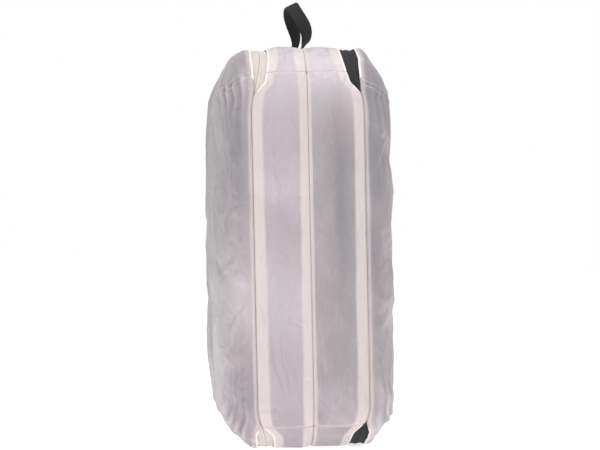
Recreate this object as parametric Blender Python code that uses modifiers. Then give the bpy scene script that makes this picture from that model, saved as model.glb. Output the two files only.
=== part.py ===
"""A travel shoe bag with two compartments, one for clean shoes and one for dirty ones.

The bag stands on its narrow end. X runs through its thickness (clean side -X, dirty side +X),
Y through its width (the hinged spine at -Y, the opening side at +Y) and Z is up. The origin is
the middle of the face it stands on. A cloth band, the gusset, runs all round the side outline.
A divider across the middle of that band makes the two compartments, and each one is closed by a
domed panel that is sewn to the spine and zipped along the other three sides. Units are metres.
"""

import math

import bmesh
import bpy
from mathutils import Vector

# ---- driving sizes ---------------------------------------------------------------------------
HEIGHT = 0.360              # bag body, without the grab loop
WIDTH = 0.230
THICKNESS = 0.160
CORNER_R = 0.045            # corner of the side outline
SEAM_HALF_MID = 0.050       # middle of the gusset to the panel seam, half way up
SEAM_HALF_TOP = 0.040       # the same at the top end
SEAM_HALF_BASE = 0.041      # the same at the bottom end
SEAM_EASE = 0.060           # height over which the seam draws in towards each end
DOME_SHAPE = 10.0           # how late the panel turns over towards the seam
DOME_CREASE = 0.95          # below 1 the panel leaves the seam with a crease

CLOTH = 0.0008              # cloth with its coating and seam folds
TAPE = 0.0008               # zipper tape, binding tape
GAP = 0.0003                # between pieces that touch
SEAM_GAP = 0.0006           # between two cloth edges that are sewn together

PANEL_LIP = 0.006           # flat margin of a panel next to its seam
ZIP_WINDOW = 0.007          # zip centre line to the cloth edge on either side
TAPE_LAP = 0.005            # how far a zipper tape reaches under the cloth
ZIP_HIDDEN = 0.014          # length of zipper that runs on under the cloth at each end
ZIP_END_BASE = 0.0236       # lower zip end, past the start of the lower corner
COIL_HEIGHT = 0.002
COIL_WIDTH = 0.0025
COIL_HALF_GAP = 0.00065     # zip centre line to either row of teeth

SPINE_BINDING = 0.010       # width of the tape over a spine seam
CENTRE_BINDING = 0.0103     # width of the tape over the divider's seam

SLIDER_LENGTH = 0.011
SLIDER_WIDTH = 0.0084
SLIDER_PLATE = 0.0014
SLIDER_POST = 0.0006        # width of the post between the rows of teeth
SLIDER_SPACING = 0.0126     # centre to centre when both sliders meet
BRIDGE_WIDTH = 0.0024
BRIDGE_LENGTH = 0.0076
BRIDGE_WALL = 0.0010
PULL_BAR = 0.0012           # thickness of the pull, and of the bar inside the bridge
PULL_LENGTH = 0.021
PULL_WIDTH = 0.0062
PULL_CLEAR = 0.0004         # round the bridge and the pull's bar

LOOP_WIDTH = 0.012
LOOP_THICK = 0.0018
LOOP_RISE = 0.0475          # crown of the loop above the bag
LOOP_SPAN = 0.100           # between the two ends, along the seam
LOOP_LEAN = -0.004          # sideways set of the crown
LOOP_BOW = 0.008            # sideways set of the arms, a third of the way up
LOOP_TILT = 0.50            # slant of the crown across its width
LOOP_LIFT = 0.0012          # room for the loop to lean over

ARC_STEPS = 6               # facets in one corner of the outline
SPINE_STEPS = 6
CREST_STEPS = 3
DOME_RINGS = (1.0, 0.97, 0.94, 0.905, 0.86, 0.80, 0.70, 0.50, 0.25, 0.0)
LOOP_STEPS = 30

# ---- sizes that follow -----------------------------------------------------------------------
SPINE_RUN = HEIGHT - 2 * CORNER_R
CREST_RUN = WIDTH - 2 * CORNER_R
ARC_RUN = CORNER_R * math.pi / 2
PERIMETER = 2 * (SPINE_RUN + CREST_RUN) + 4 * ARC_RUN
ARC_STEP = ARC_RUN / ARC_STEPS
CORNER_START = SPINE_RUN / 2                    # distance from the middle of the spine
ZIP_TOP_END = CORNER_START
ZIP_TOP_OPEN = CORNER_START + ARC_STEP
ZIP_BASE_END = -(CORNER_START + ZIP_END_BASE)
ZIP_BASE_OPEN = ZIP_BASE_END - ARC_STEP
CROSS_SEAM = CORNER_START + 2 * ARC_STEP        # seam across the gusset at each end of the spine
TAPE_TOP = CLOTH + GAP                          # depth of the tapes' outer face
COIL_TOP = TAPE_TOP + TAPE + GAP
COIL_BOTTOM = COIL_TOP + COIL_HEIGHT
EDGE = SEAM_GAP / 2

COLLECTION = "shoe_bag"
SIDES = (("clean", -1.0), ("dirty", 1.0))


def reset_scene():
    """Remove every object and make the collection for the bag."""
    for old in list(bpy.data.objects):
        bpy.data.objects.remove(old)
    parts = bpy.data.collections.new(COLLECTION)
    bpy.context.scene.collection.children.link(parts)
    return parts


def material(name, colour, roughness, metallic=0.0):
    """One Principled material."""
    made = bpy.data.materials.new(name)
    made.use_nodes = True
    shader = made.node_tree.nodes["Principled BSDF"]
    shader.inputs["Base Color"].default_value = (*colour, 1.0)
    shader.inputs["Roughness"].default_value = roughness
    shader.inputs["Metallic"].default_value = metallic
    return made


def add_object(name, mesh, finish, smooth=True):
    """Put a bmesh into a new object of the bag's collection."""
    data = bpy.data.meshes.new(name)
    mesh.to_mesh(data)
    mesh.free()
    if smooth:
        data.shade_smooth()
        data.set_sharp_from_angle(angle=math.radians(40))
    data.materials.append(finish)
    made = bpy.data.objects.new(name, data)
    bpy.data.collections[COLLECTION].objects.link(made)
    return made


def smoothstep(t):
    """Ease from 0 to 1."""
    t = min(max(t, 0.0), 1.0)
    return t * t * (3.0 - 2.0 * t)


# ---- the side outline ------------------------------------------------------------------------
def outline(distance, depth=0.0):
    """Point (y, z) of the side outline, at a distance from the middle of the spine going up.

    Depth moves the point inwards.
    """
    left = (distance + SPINE_RUN / 2) % PERIMETER
    corner_z = CORNER_R
    start = Vector((-WIDTH / 2, corner_z))
    heading = math.pi / 2
    for straight in (SPINE_RUN, CREST_RUN, SPINE_RUN, CREST_RUN):
        along = Vector((math.cos(heading), math.sin(heading)))
        out = Vector((-along.y, along.x))
        if left <= straight:
            return start + along * left - out * depth
        left -= straight
        centre = start + along * straight - out * CORNER_R
        if left <= ARC_RUN:
            turned = heading - left / CORNER_R
            out = Vector((-math.sin(turned), math.cos(turned)))
            return centre + out * (CORNER_R - depth)
        left -= ARC_RUN
        heading -= math.pi / 2
        start = centre + Vector((-math.sin(heading), math.cos(heading))) * CORNER_R
    return start


def seam_half(distance):
    """Half the gusset's width where a panel meets it."""
    z = outline(distance).y
    top = smoothstep((z - (HEIGHT - SEAM_EASE)) / SEAM_EASE)
    base = smoothstep((SEAM_EASE - z) / SEAM_EASE)
    return SEAM_HALF_MID - top * (SEAM_HALF_MID - SEAM_HALF_TOP) - base * (SEAM_HALF_MID - SEAM_HALF_BASE)


def window(distance, top_ramp, base_ramp):
    """Seam line to the cloth edge: nothing along the spine, the zip's window elsewhere."""
    if distance > PERIMETER / 2:
        distance -= PERIMETER
    if distance >= 0:
        opened = (distance - ZIP_TOP_END) / top_ramp
    else:
        opened = (ZIP_BASE_END - distance) / base_ramp
    opened = min(max(opened, 0.0), 1.0)
    return EDGE + opened * (ZIP_WINDOW - EDGE)


def panel_window(distance):
    """The window's edge on the panel's side, which closes gently at the top."""
    return window(distance, 3 * ARC_STEP, ARC_STEP)


def gusset_window(distance):
    """The window's edge on the gusset's side, cut off at a slant."""
    return window(distance, ARC_STEP, ARC_STEP)


def stations(start, end):
    """Distances from start to end that fall on the facets of the outline."""
    found = {round(start, 6), round(end, 6)}
    for lap in (-1, 0, 1):
        at = lap * PERIMETER - SPINE_RUN / 2
        for run, steps in ((SPINE_RUN, SPINE_STEPS), (CREST_RUN, CREST_STEPS)) * 2:
            for length, count in ((run, steps), (ARC_RUN, ARC_STEPS)):
                for i in range(count):
                    here = at + length * i / count
                    if start + ARC_STEP / 8 < here < end - ARC_STEP / 8:
                        found.add(round(here, 6))
                at += length
    return sorted(found)


# ---- makers ----------------------------------------------------------------------------------
def mapped_grid(columns, rows, place, closed=False):
    """A grid whose point (column, row) is moved to place(column, row)."""
    mesh = bmesh.new()
    bmesh.ops.create_grid(mesh, x_segments=columns, y_segments=rows, size=0.5)
    for vertex in mesh.verts:
        column = round((vertex.co.x + 0.5) * columns)
        row = round((vertex.co.y + 0.5) * rows)
        vertex.co = place(column, row)
    if closed:
        bmesh.ops.remove_doubles(mesh, verts=mesh.verts, dist=1e-6)
    return mesh


def add_solidify(thing, thickness):
    """Give an open surface its thickness, half to each side."""
    shell = thing.modifiers.new("thickness", "SOLIDIFY")
    shell.thickness = thickness
    shell.offset = 0.0


def band(name, start, end, edges, top, thickness, finish, closed=False):
    """A strip that follows the outline at a constant depth.

    edges gives the strip's two X positions at a distance, and top is its outer face's depth.
    """
    stops = stations(start, end)

    def place(column, row):
        here = stops[column]
        y, z = outline(here, top + thickness / 2)
        return Vector((edges(here)[row], y, z))

    made = add_object(name, mapped_grid(len(stops) - 1, 1, place, closed), finish)
    add_solidify(made, thickness)
    return made


def box(low, high):
    """A cuboid between two corners."""
    mesh = bmesh.new()
    bmesh.ops.create_cube(mesh, size=1.0)
    for vertex in mesh.verts:
        vertex.co = Vector(low[i] if vertex.co[i] < 0 else high[i] for i in range(3))
    return mesh


def merge(base, other, operation):
    """Join or cut a helper object into base, and apply the result."""
    step = base.modifiers.new(operation.lower(), "BOOLEAN")
    step.operation = operation
    step.object = other
    bpy.context.view_layer.update()
    graph = bpy.context.evaluated_depsgraph_get()
    data = bpy.data.meshes.new_from_object(base.evaluated_get(graph))
    base.modifiers.remove(step)
    base.data = data
    bpy.data.objects.remove(other)


# ---- cloth -----------------------------------------------------------------------------------
def build_panel(side, sign, finish):
    """A domed panel: a flat lip next to the seam, then the dome up to the bag's full thickness."""
    stops = stations(0.0, PERIMETER)
    centre = Vector((0.0, HEIGHT / 2))
    peak = THICKNESS / 2 - CLOTH / 2

    def place(column, row):
        here = stops[column]
        rim = outline(here, CLOTH / 2)
        edge = seam_half(here) + panel_window(here)
        if row == 0:
            return Vector((sign * edge, rim.x, rim.y))
        reach = DOME_RINGS[row - 1]
        rise = (1.0 - reach ** DOME_SHAPE) ** (1.0 / DOME_CREASE)
        foot = edge + PANEL_LIP
        spot = centre + (rim - centre) * reach
        return Vector((sign * (foot + (peak - foot) * rise), spot.x, spot.y))

    mesh = mapped_grid(len(stops) - 1, len(DOME_RINGS), place, closed=True)
    made = add_object(side + "_panel", mesh, finish)
    add_solidify(made, CLOTH)


def build_gusset(side, sign, finish):
    """One half of the gusset: the spine piece, and the wrap over the top, far side and bottom."""

    def edges(here):
        return sign * EDGE, sign * (seam_half(here) - gusset_window(here))

    band(side + "_spine", -CROSS_SEAM + EDGE, CROSS_SEAM - EDGE, edges, 0.0, CLOTH, finish)
    band(side + "_gusset", CROSS_SEAM + EDGE, PERIMETER - CROSS_SEAM - EDGE, edges, 0.0, CLOTH, finish)


def build_divider(finish):
    """The sheet between the two compartments, sewn into the gusset's middle seam."""
    curve = bpy.data.curves.new("divider", "CURVE")
    curve.dimensions = "2D"
    curve.fill_mode = "BOTH"
    curve.extrude = CLOTH / 2
    spline = curve.splines.new("POLY")
    stops = stations(0.0, PERIMETER)[:-1]
    spline.points.add(len(stops) - 1)
    for point, here in zip(spline.points, reversed(stops)):
        y, z = outline(here, TAPE_TOP)
        point.co = (y, z, 0.0, 1.0)
    spline.use_cyclic_u = True
    curve.materials.append(finish)
    made = bpy.data.objects.new("divider", curve)
    made.rotation_euler = (math.pi / 2, 0.0, math.pi / 2)
    bpy.data.collections[COLLECTION].objects.link(made)


def build_bindings(spine_finish, centre_finish):
    """Tapes over the raw edges of the seams, inside the bag."""

    def centre_edges(here):
        outer = -(CLOTH / 2 + GAP)
        return outer, outer - CENTRE_BINDING

    band("centre_binding", 0.0, PERIMETER, centre_edges, TAPE_TOP, TAPE, centre_finish, closed=True)
    for side, sign in SIDES:

        def spine_edges(here, sign=sign):
            outer = seam_half(here) - EDGE
            return sign * outer, sign * (outer - SPINE_BINDING)

        low = ZIP_BASE_END + ZIP_HIDDEN + SEAM_GAP
        high = ZIP_TOP_END - ZIP_HIDDEN - SEAM_GAP
        band(side + "_spine_binding", low, high, spine_edges, TAPE_TOP, TAPE, spine_finish)


# ---- zippers ---------------------------------------------------------------------------------
def build_zipper(side, sign, tape_finish, coil_finish):
    """Two tapes with a row of teeth behind each, one for the panel and one for the gusset."""
    start = ZIP_TOP_END - ZIP_HIDDEN
    end = PERIMETER + ZIP_BASE_END + ZIP_HIDDEN
    for half, outward, reach in (("panel", 1.0, panel_window), ("gusset", -1.0, gusset_window)):

        def tape_edges(here, outward=outward, reach=reach):
            line = seam_half(here)
            near = line + outward * COIL_HALF_GAP
            far = line + outward * (reach(here) + TAPE_LAP)
            return sign * near, sign * far

        def coil_edges(here, outward=outward):
            near = seam_half(here) + outward * COIL_HALF_GAP
            return sign * near, sign * (near + outward * COIL_WIDTH)

        name = side + "_" + half
        band(name + "_zip_tape", start, end, tape_edges, TAPE_TOP, TAPE, tape_finish)
        band(name + "_zip_teeth", start, end, coil_edges, COIL_TOP, COIL_HEIGHT, coil_finish)


def build_slider(name, x, y, finish):
    """A slider on the top of the bag: two plates, a post between the teeth and a bridge."""
    half = SLIDER_LENGTH / 2
    wide = SLIDER_WIDTH / 2
    post = SLIDER_POST / 2
    top = HEIGHT
    upper_low = top - TAPE_TOP + GAP
    upper_high = upper_low + SLIDER_PLATE
    lower_high = top - COIL_BOTTOM - GAP
    lower_low = lower_high - SLIDER_PLATE
    slot = PULL_BAR + 2 * PULL_CLEAR
    bridge_high = upper_high + slot + BRIDGE_WALL
    span = BRIDGE_LENGTH / 2
    sunk = SLIDER_PLATE / 2
    body = add_object(name, box((x - wide, y - half, upper_low), (x + wide, y + half, upper_high)), finish, False)
    pieces = (
        ("lower plate", (x - wide, y - half, lower_low), (x + wide, y + half, lower_high), "UNION"),
        ("post", (x - post, y - post * 3, lower_low + sunk), (x + post, y + post * 3, upper_high - sunk), "UNION"),
        ("bridge", (x - BRIDGE_WIDTH / 2, y - span, upper_high - sunk),
         (x + BRIDGE_WIDTH / 2, y + span, bridge_high), "UNION"),
        ("slot", (x - BRIDGE_WIDTH, y - span + BRIDGE_WALL, upper_high),
         (x + BRIDGE_WIDTH, y + span - BRIDGE_WALL, upper_high + slot), "DIFFERENCE"),
    )
    for label, low, high, operation in pieces:
        merge(body, add_object(name + " " + label, box(low, high), finish, False), operation)
    return upper_high + PULL_CLEAR + PULL_BAR / 2


def build_pull(name, x, y, z, away, finish):
    """A flat pull whose end bar turns inside the slider's bridge. away is the way it points along Y."""
    curve = bpy.data.curves.new(name, "CURVE")
    curve.dimensions = "2D"
    curve.fill_mode = "BOTH"
    curve.extrude = PULL_BAR / 2
    hole = BRIDGE_WIDTH / 2 + PULL_CLEAR
    wide = PULL_WIDTH / 2
    tip = PULL_LENGTH - wide
    rim = [(-wide, -PULL_BAR / 2)]
    rim += [(-wide * math.cos(t * math.pi / 8), tip + wide * math.sin(t * math.pi / 8)) for t in range(9)]
    rim += [(wide, -PULL_BAR / 2)]
    bridge_top = PULL_BAR / 2 + PULL_CLEAR + BRIDGE_WALL
    hole_end = math.hypot(BRIDGE_LENGTH / 2, bridge_top) + PULL_CLEAR
    eye = [(-hole, PULL_BAR / 2), (hole, PULL_BAR / 2), (hole, hole_end), (-hole, hole_end)]
    for loop in (rim, eye):
        spline = curve.splines.new("POLY")
        spline.points.add(len(loop) - 1)
        for point, (across, along) in zip(spline.points, loop):
            point.co = (across, along * away, 0.0, 1.0)
        spline.use_cyclic_u = True
    curve.materials.append(finish)
    made = bpy.data.objects.new(name, curve)
    made.location = (x, y, z)
    bpy.data.collections[COLLECTION].objects.link(made)


def build_sliders(finishes, pull_finishes):
    """Two sliders a zip, which meet in the middle of the top, each with its pull lying outwards."""
    for side, sign in SIDES:
        for end, away in (("near", -1.0), ("far", 1.0)):
            x = sign * SEAM_HALF_TOP
            y = away * SLIDER_SPACING / 2
            stem = side + "_" + end
            z = build_slider(stem + "_slider", x, y, finishes[side])
            build_pull(stem + "_pull", x, y, z, away, pull_finishes[side])


# ---- grab loop -------------------------------------------------------------------------------
def build_loop(finish):
    """A webbing loop: its width lies along the seam at both ends and across it at the crown."""
    half = LOOP_SPAN / 2

    def place(column, row):
        turn = math.pi * column / LOOP_STEPS
        rise = math.sin(turn)
        side = LOOP_LEAN * rise + 6.75 * LOOP_BOW * rise * (1 - rise) ** 2
        height = HEIGHT + LOOP_LIFT + (LOOP_RISE - LOOP_LIFT) * rise
        centre = Vector((side, -half * math.cos(turn), height))
        inward = Vector((0.0, -math.cos(turn) * half, math.sin(turn) * LOOP_RISE)).normalized()
        twist = math.pi / 2 * smoothstep(rise / 0.9)
        flat = Vector((math.cos(LOOP_TILT * rise), 0.0, math.sin(LOOP_TILT * rise)))
        across = flat * math.sin(twist) + inward * math.cos(twist)
        return centre + across * LOOP_WIDTH * (row - 1) / 2

    made = add_object("grab_loop", mapped_grid(LOOP_STEPS, 2, place), finish)
    add_solidify(made, LOOP_THICK)


def main():
    """Build the whole bag."""
    reset_scene()
    cloth = material("coated_cloth", (0.66, 0.62, 0.64), 0.45)
    lining = material("divider_cloth", (0.60, 0.57, 0.58), 0.55)
    binding = material("binding_tape", (0.78, 0.73, 0.69), 0.70)
    tapes = {
        "clean": material("cream_tape", (0.80, 0.75, 0.70), 0.75),
        "dirty": material("black_tape", (0.045, 0.042, 0.046), 0.75),
    }
    teeth = {
        "clean": material("cream_teeth", (0.82, 0.78, 0.73), 0.45),
        "dirty": material("black_teeth", (0.035, 0.033, 0.036), 0.40),
    }
    metals = {
        "clean": material("cream_slider", (0.78, 0.74, 0.69), 0.40, 0.3),
        "dirty": material("black_slider", (0.05, 0.048, 0.052), 0.40, 0.3),
    }
    webbing = material("black_webbing", (0.030, 0.028, 0.032), 0.80)
    for side, sign in SIDES:
        build_panel(side, sign, cloth)
        build_gusset(side, sign, cloth)
        build_zipper(side, sign, tapes[side], teeth[side])
    build_divider(lining)
    build_bindings(binding, binding)
    build_sliders(metals, metals)
    build_loop(webbing)


main()
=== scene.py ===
"""The finished look of a travel shoe bag with a clean and a dirty compartment.

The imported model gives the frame: X runs through the bag's thickness (clean side -X), Y through
its width (hinged spine at -Y) and Z is up. Every piece below is built in that frame, in metres,
and replaces or dresses the node that holds its place.
"""

import logging
import math
from dataclasses import dataclass, field
from enum import Enum
from typing import Any, Callable, Sequence

import bmesh
import bpy
import numpy as np
from mathutils import Matrix, Vector
from mathutils.bvhtree import BVHTree


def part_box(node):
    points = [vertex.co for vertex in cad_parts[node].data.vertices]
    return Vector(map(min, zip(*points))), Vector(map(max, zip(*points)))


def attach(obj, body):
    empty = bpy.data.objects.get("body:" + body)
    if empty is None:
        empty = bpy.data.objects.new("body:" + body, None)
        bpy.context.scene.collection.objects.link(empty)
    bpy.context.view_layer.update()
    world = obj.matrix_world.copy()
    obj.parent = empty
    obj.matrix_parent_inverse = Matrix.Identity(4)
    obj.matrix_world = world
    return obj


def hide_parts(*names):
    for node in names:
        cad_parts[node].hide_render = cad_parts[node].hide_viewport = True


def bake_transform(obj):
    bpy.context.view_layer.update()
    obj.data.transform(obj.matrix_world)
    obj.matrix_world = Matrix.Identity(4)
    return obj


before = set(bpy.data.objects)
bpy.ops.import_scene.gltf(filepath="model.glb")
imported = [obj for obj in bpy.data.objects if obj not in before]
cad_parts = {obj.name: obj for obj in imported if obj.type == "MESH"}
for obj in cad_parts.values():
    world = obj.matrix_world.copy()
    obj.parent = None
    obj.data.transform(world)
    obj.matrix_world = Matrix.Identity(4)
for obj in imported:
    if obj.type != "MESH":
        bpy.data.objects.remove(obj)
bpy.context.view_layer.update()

LOG = logging.getLogger("shoe_bag")
Colour = tuple[float, float, float]
MM = 0.001
CORNER = 0.045          # radius of the side outline's corners
STEP_OFF = 0.2 * MM     # lowest that cloth comes to the floor


class Side(Enum):
    """The two compartments, with the sign of X on each side."""

    CLEAN = ("clean", -1.0)
    DIRTY = ("dirty", 1.0)

    @property
    def label(self) -> str:
        """Name used in node and piece names."""
        return self.value[0]

    @property
    def sign(self) -> float:
        """Sign of X."""
        return self.value[1]


class End(Enum):
    """The two sliders of a zip, with the direction along Y in which each one opens it."""

    NEAR = ("near", -1.0)
    FAR = ("far", 1.0)


class Half(Enum):
    """The two tapes of a zip, with the direction away from the teeth."""

    PANEL = ("panel", 1.0)
    GUSSET = ("gusset", -1.0)


# ---- shader expressions ----------------------------------------------------------------------
class Value:
    """A shader socket that takes part in Python arithmetic."""

    def __init__(self, graph: "Graph", socket: bpy.types.NodeSocket) -> None:
        """Wrap a socket of a graph's node."""
        self.graph = graph
        self.socket = socket

    def __add__(self, other: Any) -> "Value":
        """self + other."""
        return self.graph.math("ADD", self, other)

    __radd__ = __add__

    def __sub__(self, other: Any) -> "Value":
        """self - other."""
        return self.graph.math("SUBTRACT", self, other)

    def __rsub__(self, other: Any) -> "Value":
        """other - self."""
        return self.graph.math("SUBTRACT", other, self)

    def __mul__(self, other: Any) -> "Value":
        """self * other."""
        return self.graph.math("MULTIPLY", self, other)

    __rmul__ = __mul__


class Graph:
    """The nodes of one material."""

    def __init__(self, name: str) -> None:
        """Start a material that has only its Principled shader.

        Args:
            name: The material's name.
        """
        self.material = bpy.data.materials.new(name)
        self.material.use_nodes = True
        self.tree = self.material.node_tree
        self.shader = self.tree.nodes["Principled BSDF"]

    def node(self, kind: str, settings: dict[str, Any] | None = None,
             inputs: dict[Any, Any] | None = None) -> bpy.types.Node:
        """Add a node.

        Args:
            kind: The node's type.
            settings: Its properties, which are set first.
            inputs: Socket names or numbers, with the values or links that they take.

        Returns:
            The new node.
        """
        made = self.tree.nodes.new(kind)
        for key, value in (settings or {}).items():
            setattr(made, key, value)
        for key, value in (inputs or {}).items():
            self.feed(made.inputs[key], value)
        return made

    def feed(self, socket: bpy.types.NodeSocket, value: Any) -> None:
        """Link a value to a socket, or set a plain number, vector or colour on it."""
        if isinstance(value, Value):
            self.tree.links.new(value.socket, socket)
        elif isinstance(value, bpy.types.NodeSocket):
            self.tree.links.new(value, socket)
        elif isinstance(value, tuple) and len(value) == 3 and socket.type == "RGBA":
            socket.default_value = (*value, 1.0)
        else:
            socket.default_value = value

    def math(self, operation: str, *values: Any, clamp: bool = False) -> Value:
        """A Math node on one to three values."""
        made = self.node("ShaderNodeMath", {"operation": operation, "use_clamp": clamp},
                         dict(enumerate(values)))
        return Value(self, made.outputs[0])

    def mix(self, factor: Any, first: Any, second: Any) -> Value:
        """A colour between two colours."""
        made = self.node("ShaderNodeMix", {"data_type": "RGBA"}, {0: factor, 6: first, 7: second})
        return Value(self, made.outputs[2])

    def rise(self, value: Any, low: float, high: float, to_low: float = 0.0, to_high: float = 1.0) -> Value:
        """A smooth step from to_low to to_high as value goes from low to high."""
        made = self.node("ShaderNodeMapRange", {"interpolation_type": "SMOOTHSTEP"},
                         {0: value, 1: low, 2: high, 3: to_low, 4: to_high})
        return Value(self, made.outputs[0])

    def place(self) -> Value:
        """Object coordinates."""
        return Value(self, self.node("ShaderNodeTexCoord").outputs["Object"])

    def attribute(self, name: str) -> Value:
        """A number stored on the piece's points."""
        return Value(self, self.node("ShaderNodeAttribute", {"attribute_name": name}).outputs["Fac"])

    def noise(self, where: Any, scale: float, detail: float = 3.0, roughness: float = 0.5,
              distortion: float = 0.0) -> Value:
        """Noise about a half."""
        made = self.node("ShaderNodeTexNoise", None, {
            "Vector": where, "Scale": scale, "Detail": detail, "Roughness": roughness,
            "Distortion": distortion})
        return Value(self, made.outputs["Fac"])

    def stretched(self, where: Any, scale: Sequence[float], turn: Sequence[float] = (0, 0, 0)) -> Value:
        """Coordinates that a Mapping node scales and turns."""
        made = self.node("ShaderNodeMapping", None, {
            "Vector": where, "Scale": tuple(scale), "Rotation": tuple(turn)})
        return Value(self, made.outputs[0])

    def bump(self, height: Any, distance: float, strength: float = 1.0, under: Value | None = None) -> Value:
        """A Bump node over another one."""
        inputs = {"Height": height, "Distance": distance, "Strength": strength}
        if under is not None:
            inputs["Normal"] = under
        return Value(self, self.node("ShaderNodeBump", None, inputs).outputs[0])

    def finish(self, **sockets: Any) -> bpy.types.Material:
        """Set the shader's sockets, named with underscores, and return the material."""
        for name, value in sockets.items():
            self.feed(self.shader.inputs[name.replace("_", " ")], value)
        return self.material


# ---- finishes --------------------------------------------------------------------------------
@dataclass(frozen=True)
class CoatedCloth:
    """Thin coated nylon, milky and a little see-through, paler where a tape lies behind it, with painted light and
    shade from each piece's light attribute.
    """

    name: str
    mauve: Colour = (0.425, 0.370, 0.405)
    grey: Colour = (0.400, 0.356, 0.362)
    cool: Colour = (0.352, 0.330, 0.362)
    pale: Colour = (0.640, 0.585, 0.625)
    backed: Colour = (0.620, 0.548, 0.533)
    edge: Colour = (0.830, 0.770, 0.750)
    alpha: float = 0.70
    backed_alpha: float = 0.95
    roughness: float = 0.44

    def build(self) -> bpy.types.Material:
        """Make the material."""
        graph = Graph(self.name)
        where = graph.place()
        broad = graph.noise(graph.stretched(where, (1.0, 1.0, 0.45)), 11.0, 2.0, 0.45)
        drift = graph.noise(graph.stretched(where, (1.0, 1.0, 0.6), (0.0, 0.4, 0.0)), 17.0, 2.0, 0.5, 0.3)
        patch = graph.noise(graph.stretched(where, (1.0, 1.0, 0.7)), 24.0, 3.0, 0.5, 0.4)
        streak = graph.noise(graph.stretched(where, (1.0, 1.0, 0.22), (0.0, 0.5, 0.3)), 70.0, 2.0, 0.5)
        crinkle = graph.noise(where, 260.0, 3.0, 0.65)
        mottle = graph.noise(where, 520.0, 2.0, 0.6)
        tone = graph.mix(graph.rise(broad, 0.40, 0.66), self.mauve, self.grey)
        tone = graph.mix(graph.rise(drift, 0.54, 0.74) * 0.45, tone, self.cool)
        tone = graph.mix(graph.rise(patch, 0.50, 0.74) * 0.24, tone, self.pale)
        ridge = graph.rise(graph.math("ABSOLUTE", streak - 0.5), 0.0, 0.035, 1.0, 0.0)
        tone = graph.mix(ridge * graph.rise(patch, 0.48, 0.62) * 0.20, tone, self.pale)
        # Painted light and shade: the light attribute mixes the colour towards pale above 0 and towards a darker
        # cool tone below 0.
        light = graph.attribute("light")
        tone = graph.mix(graph.math("MULTIPLY", light, 1.0, clamp=True), tone, self.pale)
        tone = graph.mix(graph.math("MULTIPLY", light, -1.0, clamp=True), tone, tuple(c * 0.80 for c in self.cool))
        tone = graph.mix((mottle - 0.5) * 0.35, tone, self.pale)
        backing = graph.attribute("backing")
        backed = graph.rise(backing + (patch - 0.5) * 1.6, -1.7, 1.5)
        hem = graph.rise(graph.attribute("hem"), -0.6, 0.5)
        tape = graph.mix(patch, self.backed, tuple(c * 0.88 for c in self.backed))
        colour = graph.mix(backed * 0.80, tone, tape)
        colour = graph.mix(hem * 0.85, colour, self.edge)
        seam = graph.rise(graph.attribute("crease"), 0.0, 0.55, 1.0, 0.0)
        colour = graph.mix(seam * 0.22, colour, (0.56, 0.45, 0.38))
        cover = graph.math("MAXIMUM", backed, hem)
        alpha = self.alpha + cover * (self.backed_alpha - self.alpha) + (patch - 0.5) * 0.16
        threads = graph.math("SINE", graph.attribute("weave_u") * (2 * math.pi / 0.42)) * graph.math(
            "SINE", graph.attribute("weave_v") * (2 * math.pi / 0.42))
        normal = graph.bump(threads, 0.00002)
        normal = graph.bump(crinkle, 0.0007, 0.5, normal)
        crumple = graph.math("ABSOLUTE", graph.noise(graph.stretched(where, (1.0, 0.8, 0.55), (0.3, 0.4, 0.2)),
                                                     42.0, 2.0, 0.55, 0.5) - 0.5)
        normal = graph.bump(graph.rise(crumple, 0.0, 0.09), 0.0011, 0.6, normal)
        normal = graph.bump(streak, 0.0045, 0.55, normal)
        normal = graph.bump(patch, 0.0060, 0.5, normal)
        rough = self.roughness + (crinkle - 0.5) * 0.24
        return graph.finish(Base_Color=colour, Alpha=alpha, Roughness=rough, Normal=normal,
                            Specular_IOR_Level=0.42, Sheen_Weight=0.26, Sheen_Roughness=0.45)


@dataclass(frozen=True)
class WovenTape:
    """Flat woven tape with a herringbone weave, for zips and bindings."""

    name: str
    colour: Colour
    light: Colour
    roughness: float = 0.72
    sheen: float = 0.2
    rib: float = 0.9
    relief: float = 0.00010

    def build(self) -> bpy.types.Material:
        """Make the material."""
        graph = Graph(self.name)
        along = graph.attribute("weave_u")
        across = graph.attribute("weave_v")
        zigzag = graph.math("PINGPONG", across, 1.6)
        twill = graph.math("SINE", (along + zigzag) * (2 * math.pi / self.rib))
        ribs = graph.math("SINE", across * (2 * math.pi / (self.rib * 0.62)))
        where = graph.place()
        fuzz = graph.noise(where, 900.0, 2.0, 0.6)
        wear = graph.noise(where, 45.0, 3.0, 0.6)
        shade = graph.rise(twill * 0.5 + ribs * 0.2 + (wear - 0.5) * 1.2, -0.7, 0.9)
        colour = graph.mix(shade, self.colour, self.light)
        normal = graph.bump(twill + ribs * 0.5, self.relief)
        normal = graph.bump(fuzz, 0.00008, 0.7, normal)
        rough = self.roughness + (fuzz - 0.5) * 0.2
        return graph.finish(Base_Color=colour, Roughness=rough, Normal=normal,
                            Specular_IOR_Level=0.25, Sheen_Weight=self.sheen, Sheen_Roughness=0.5)


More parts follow.
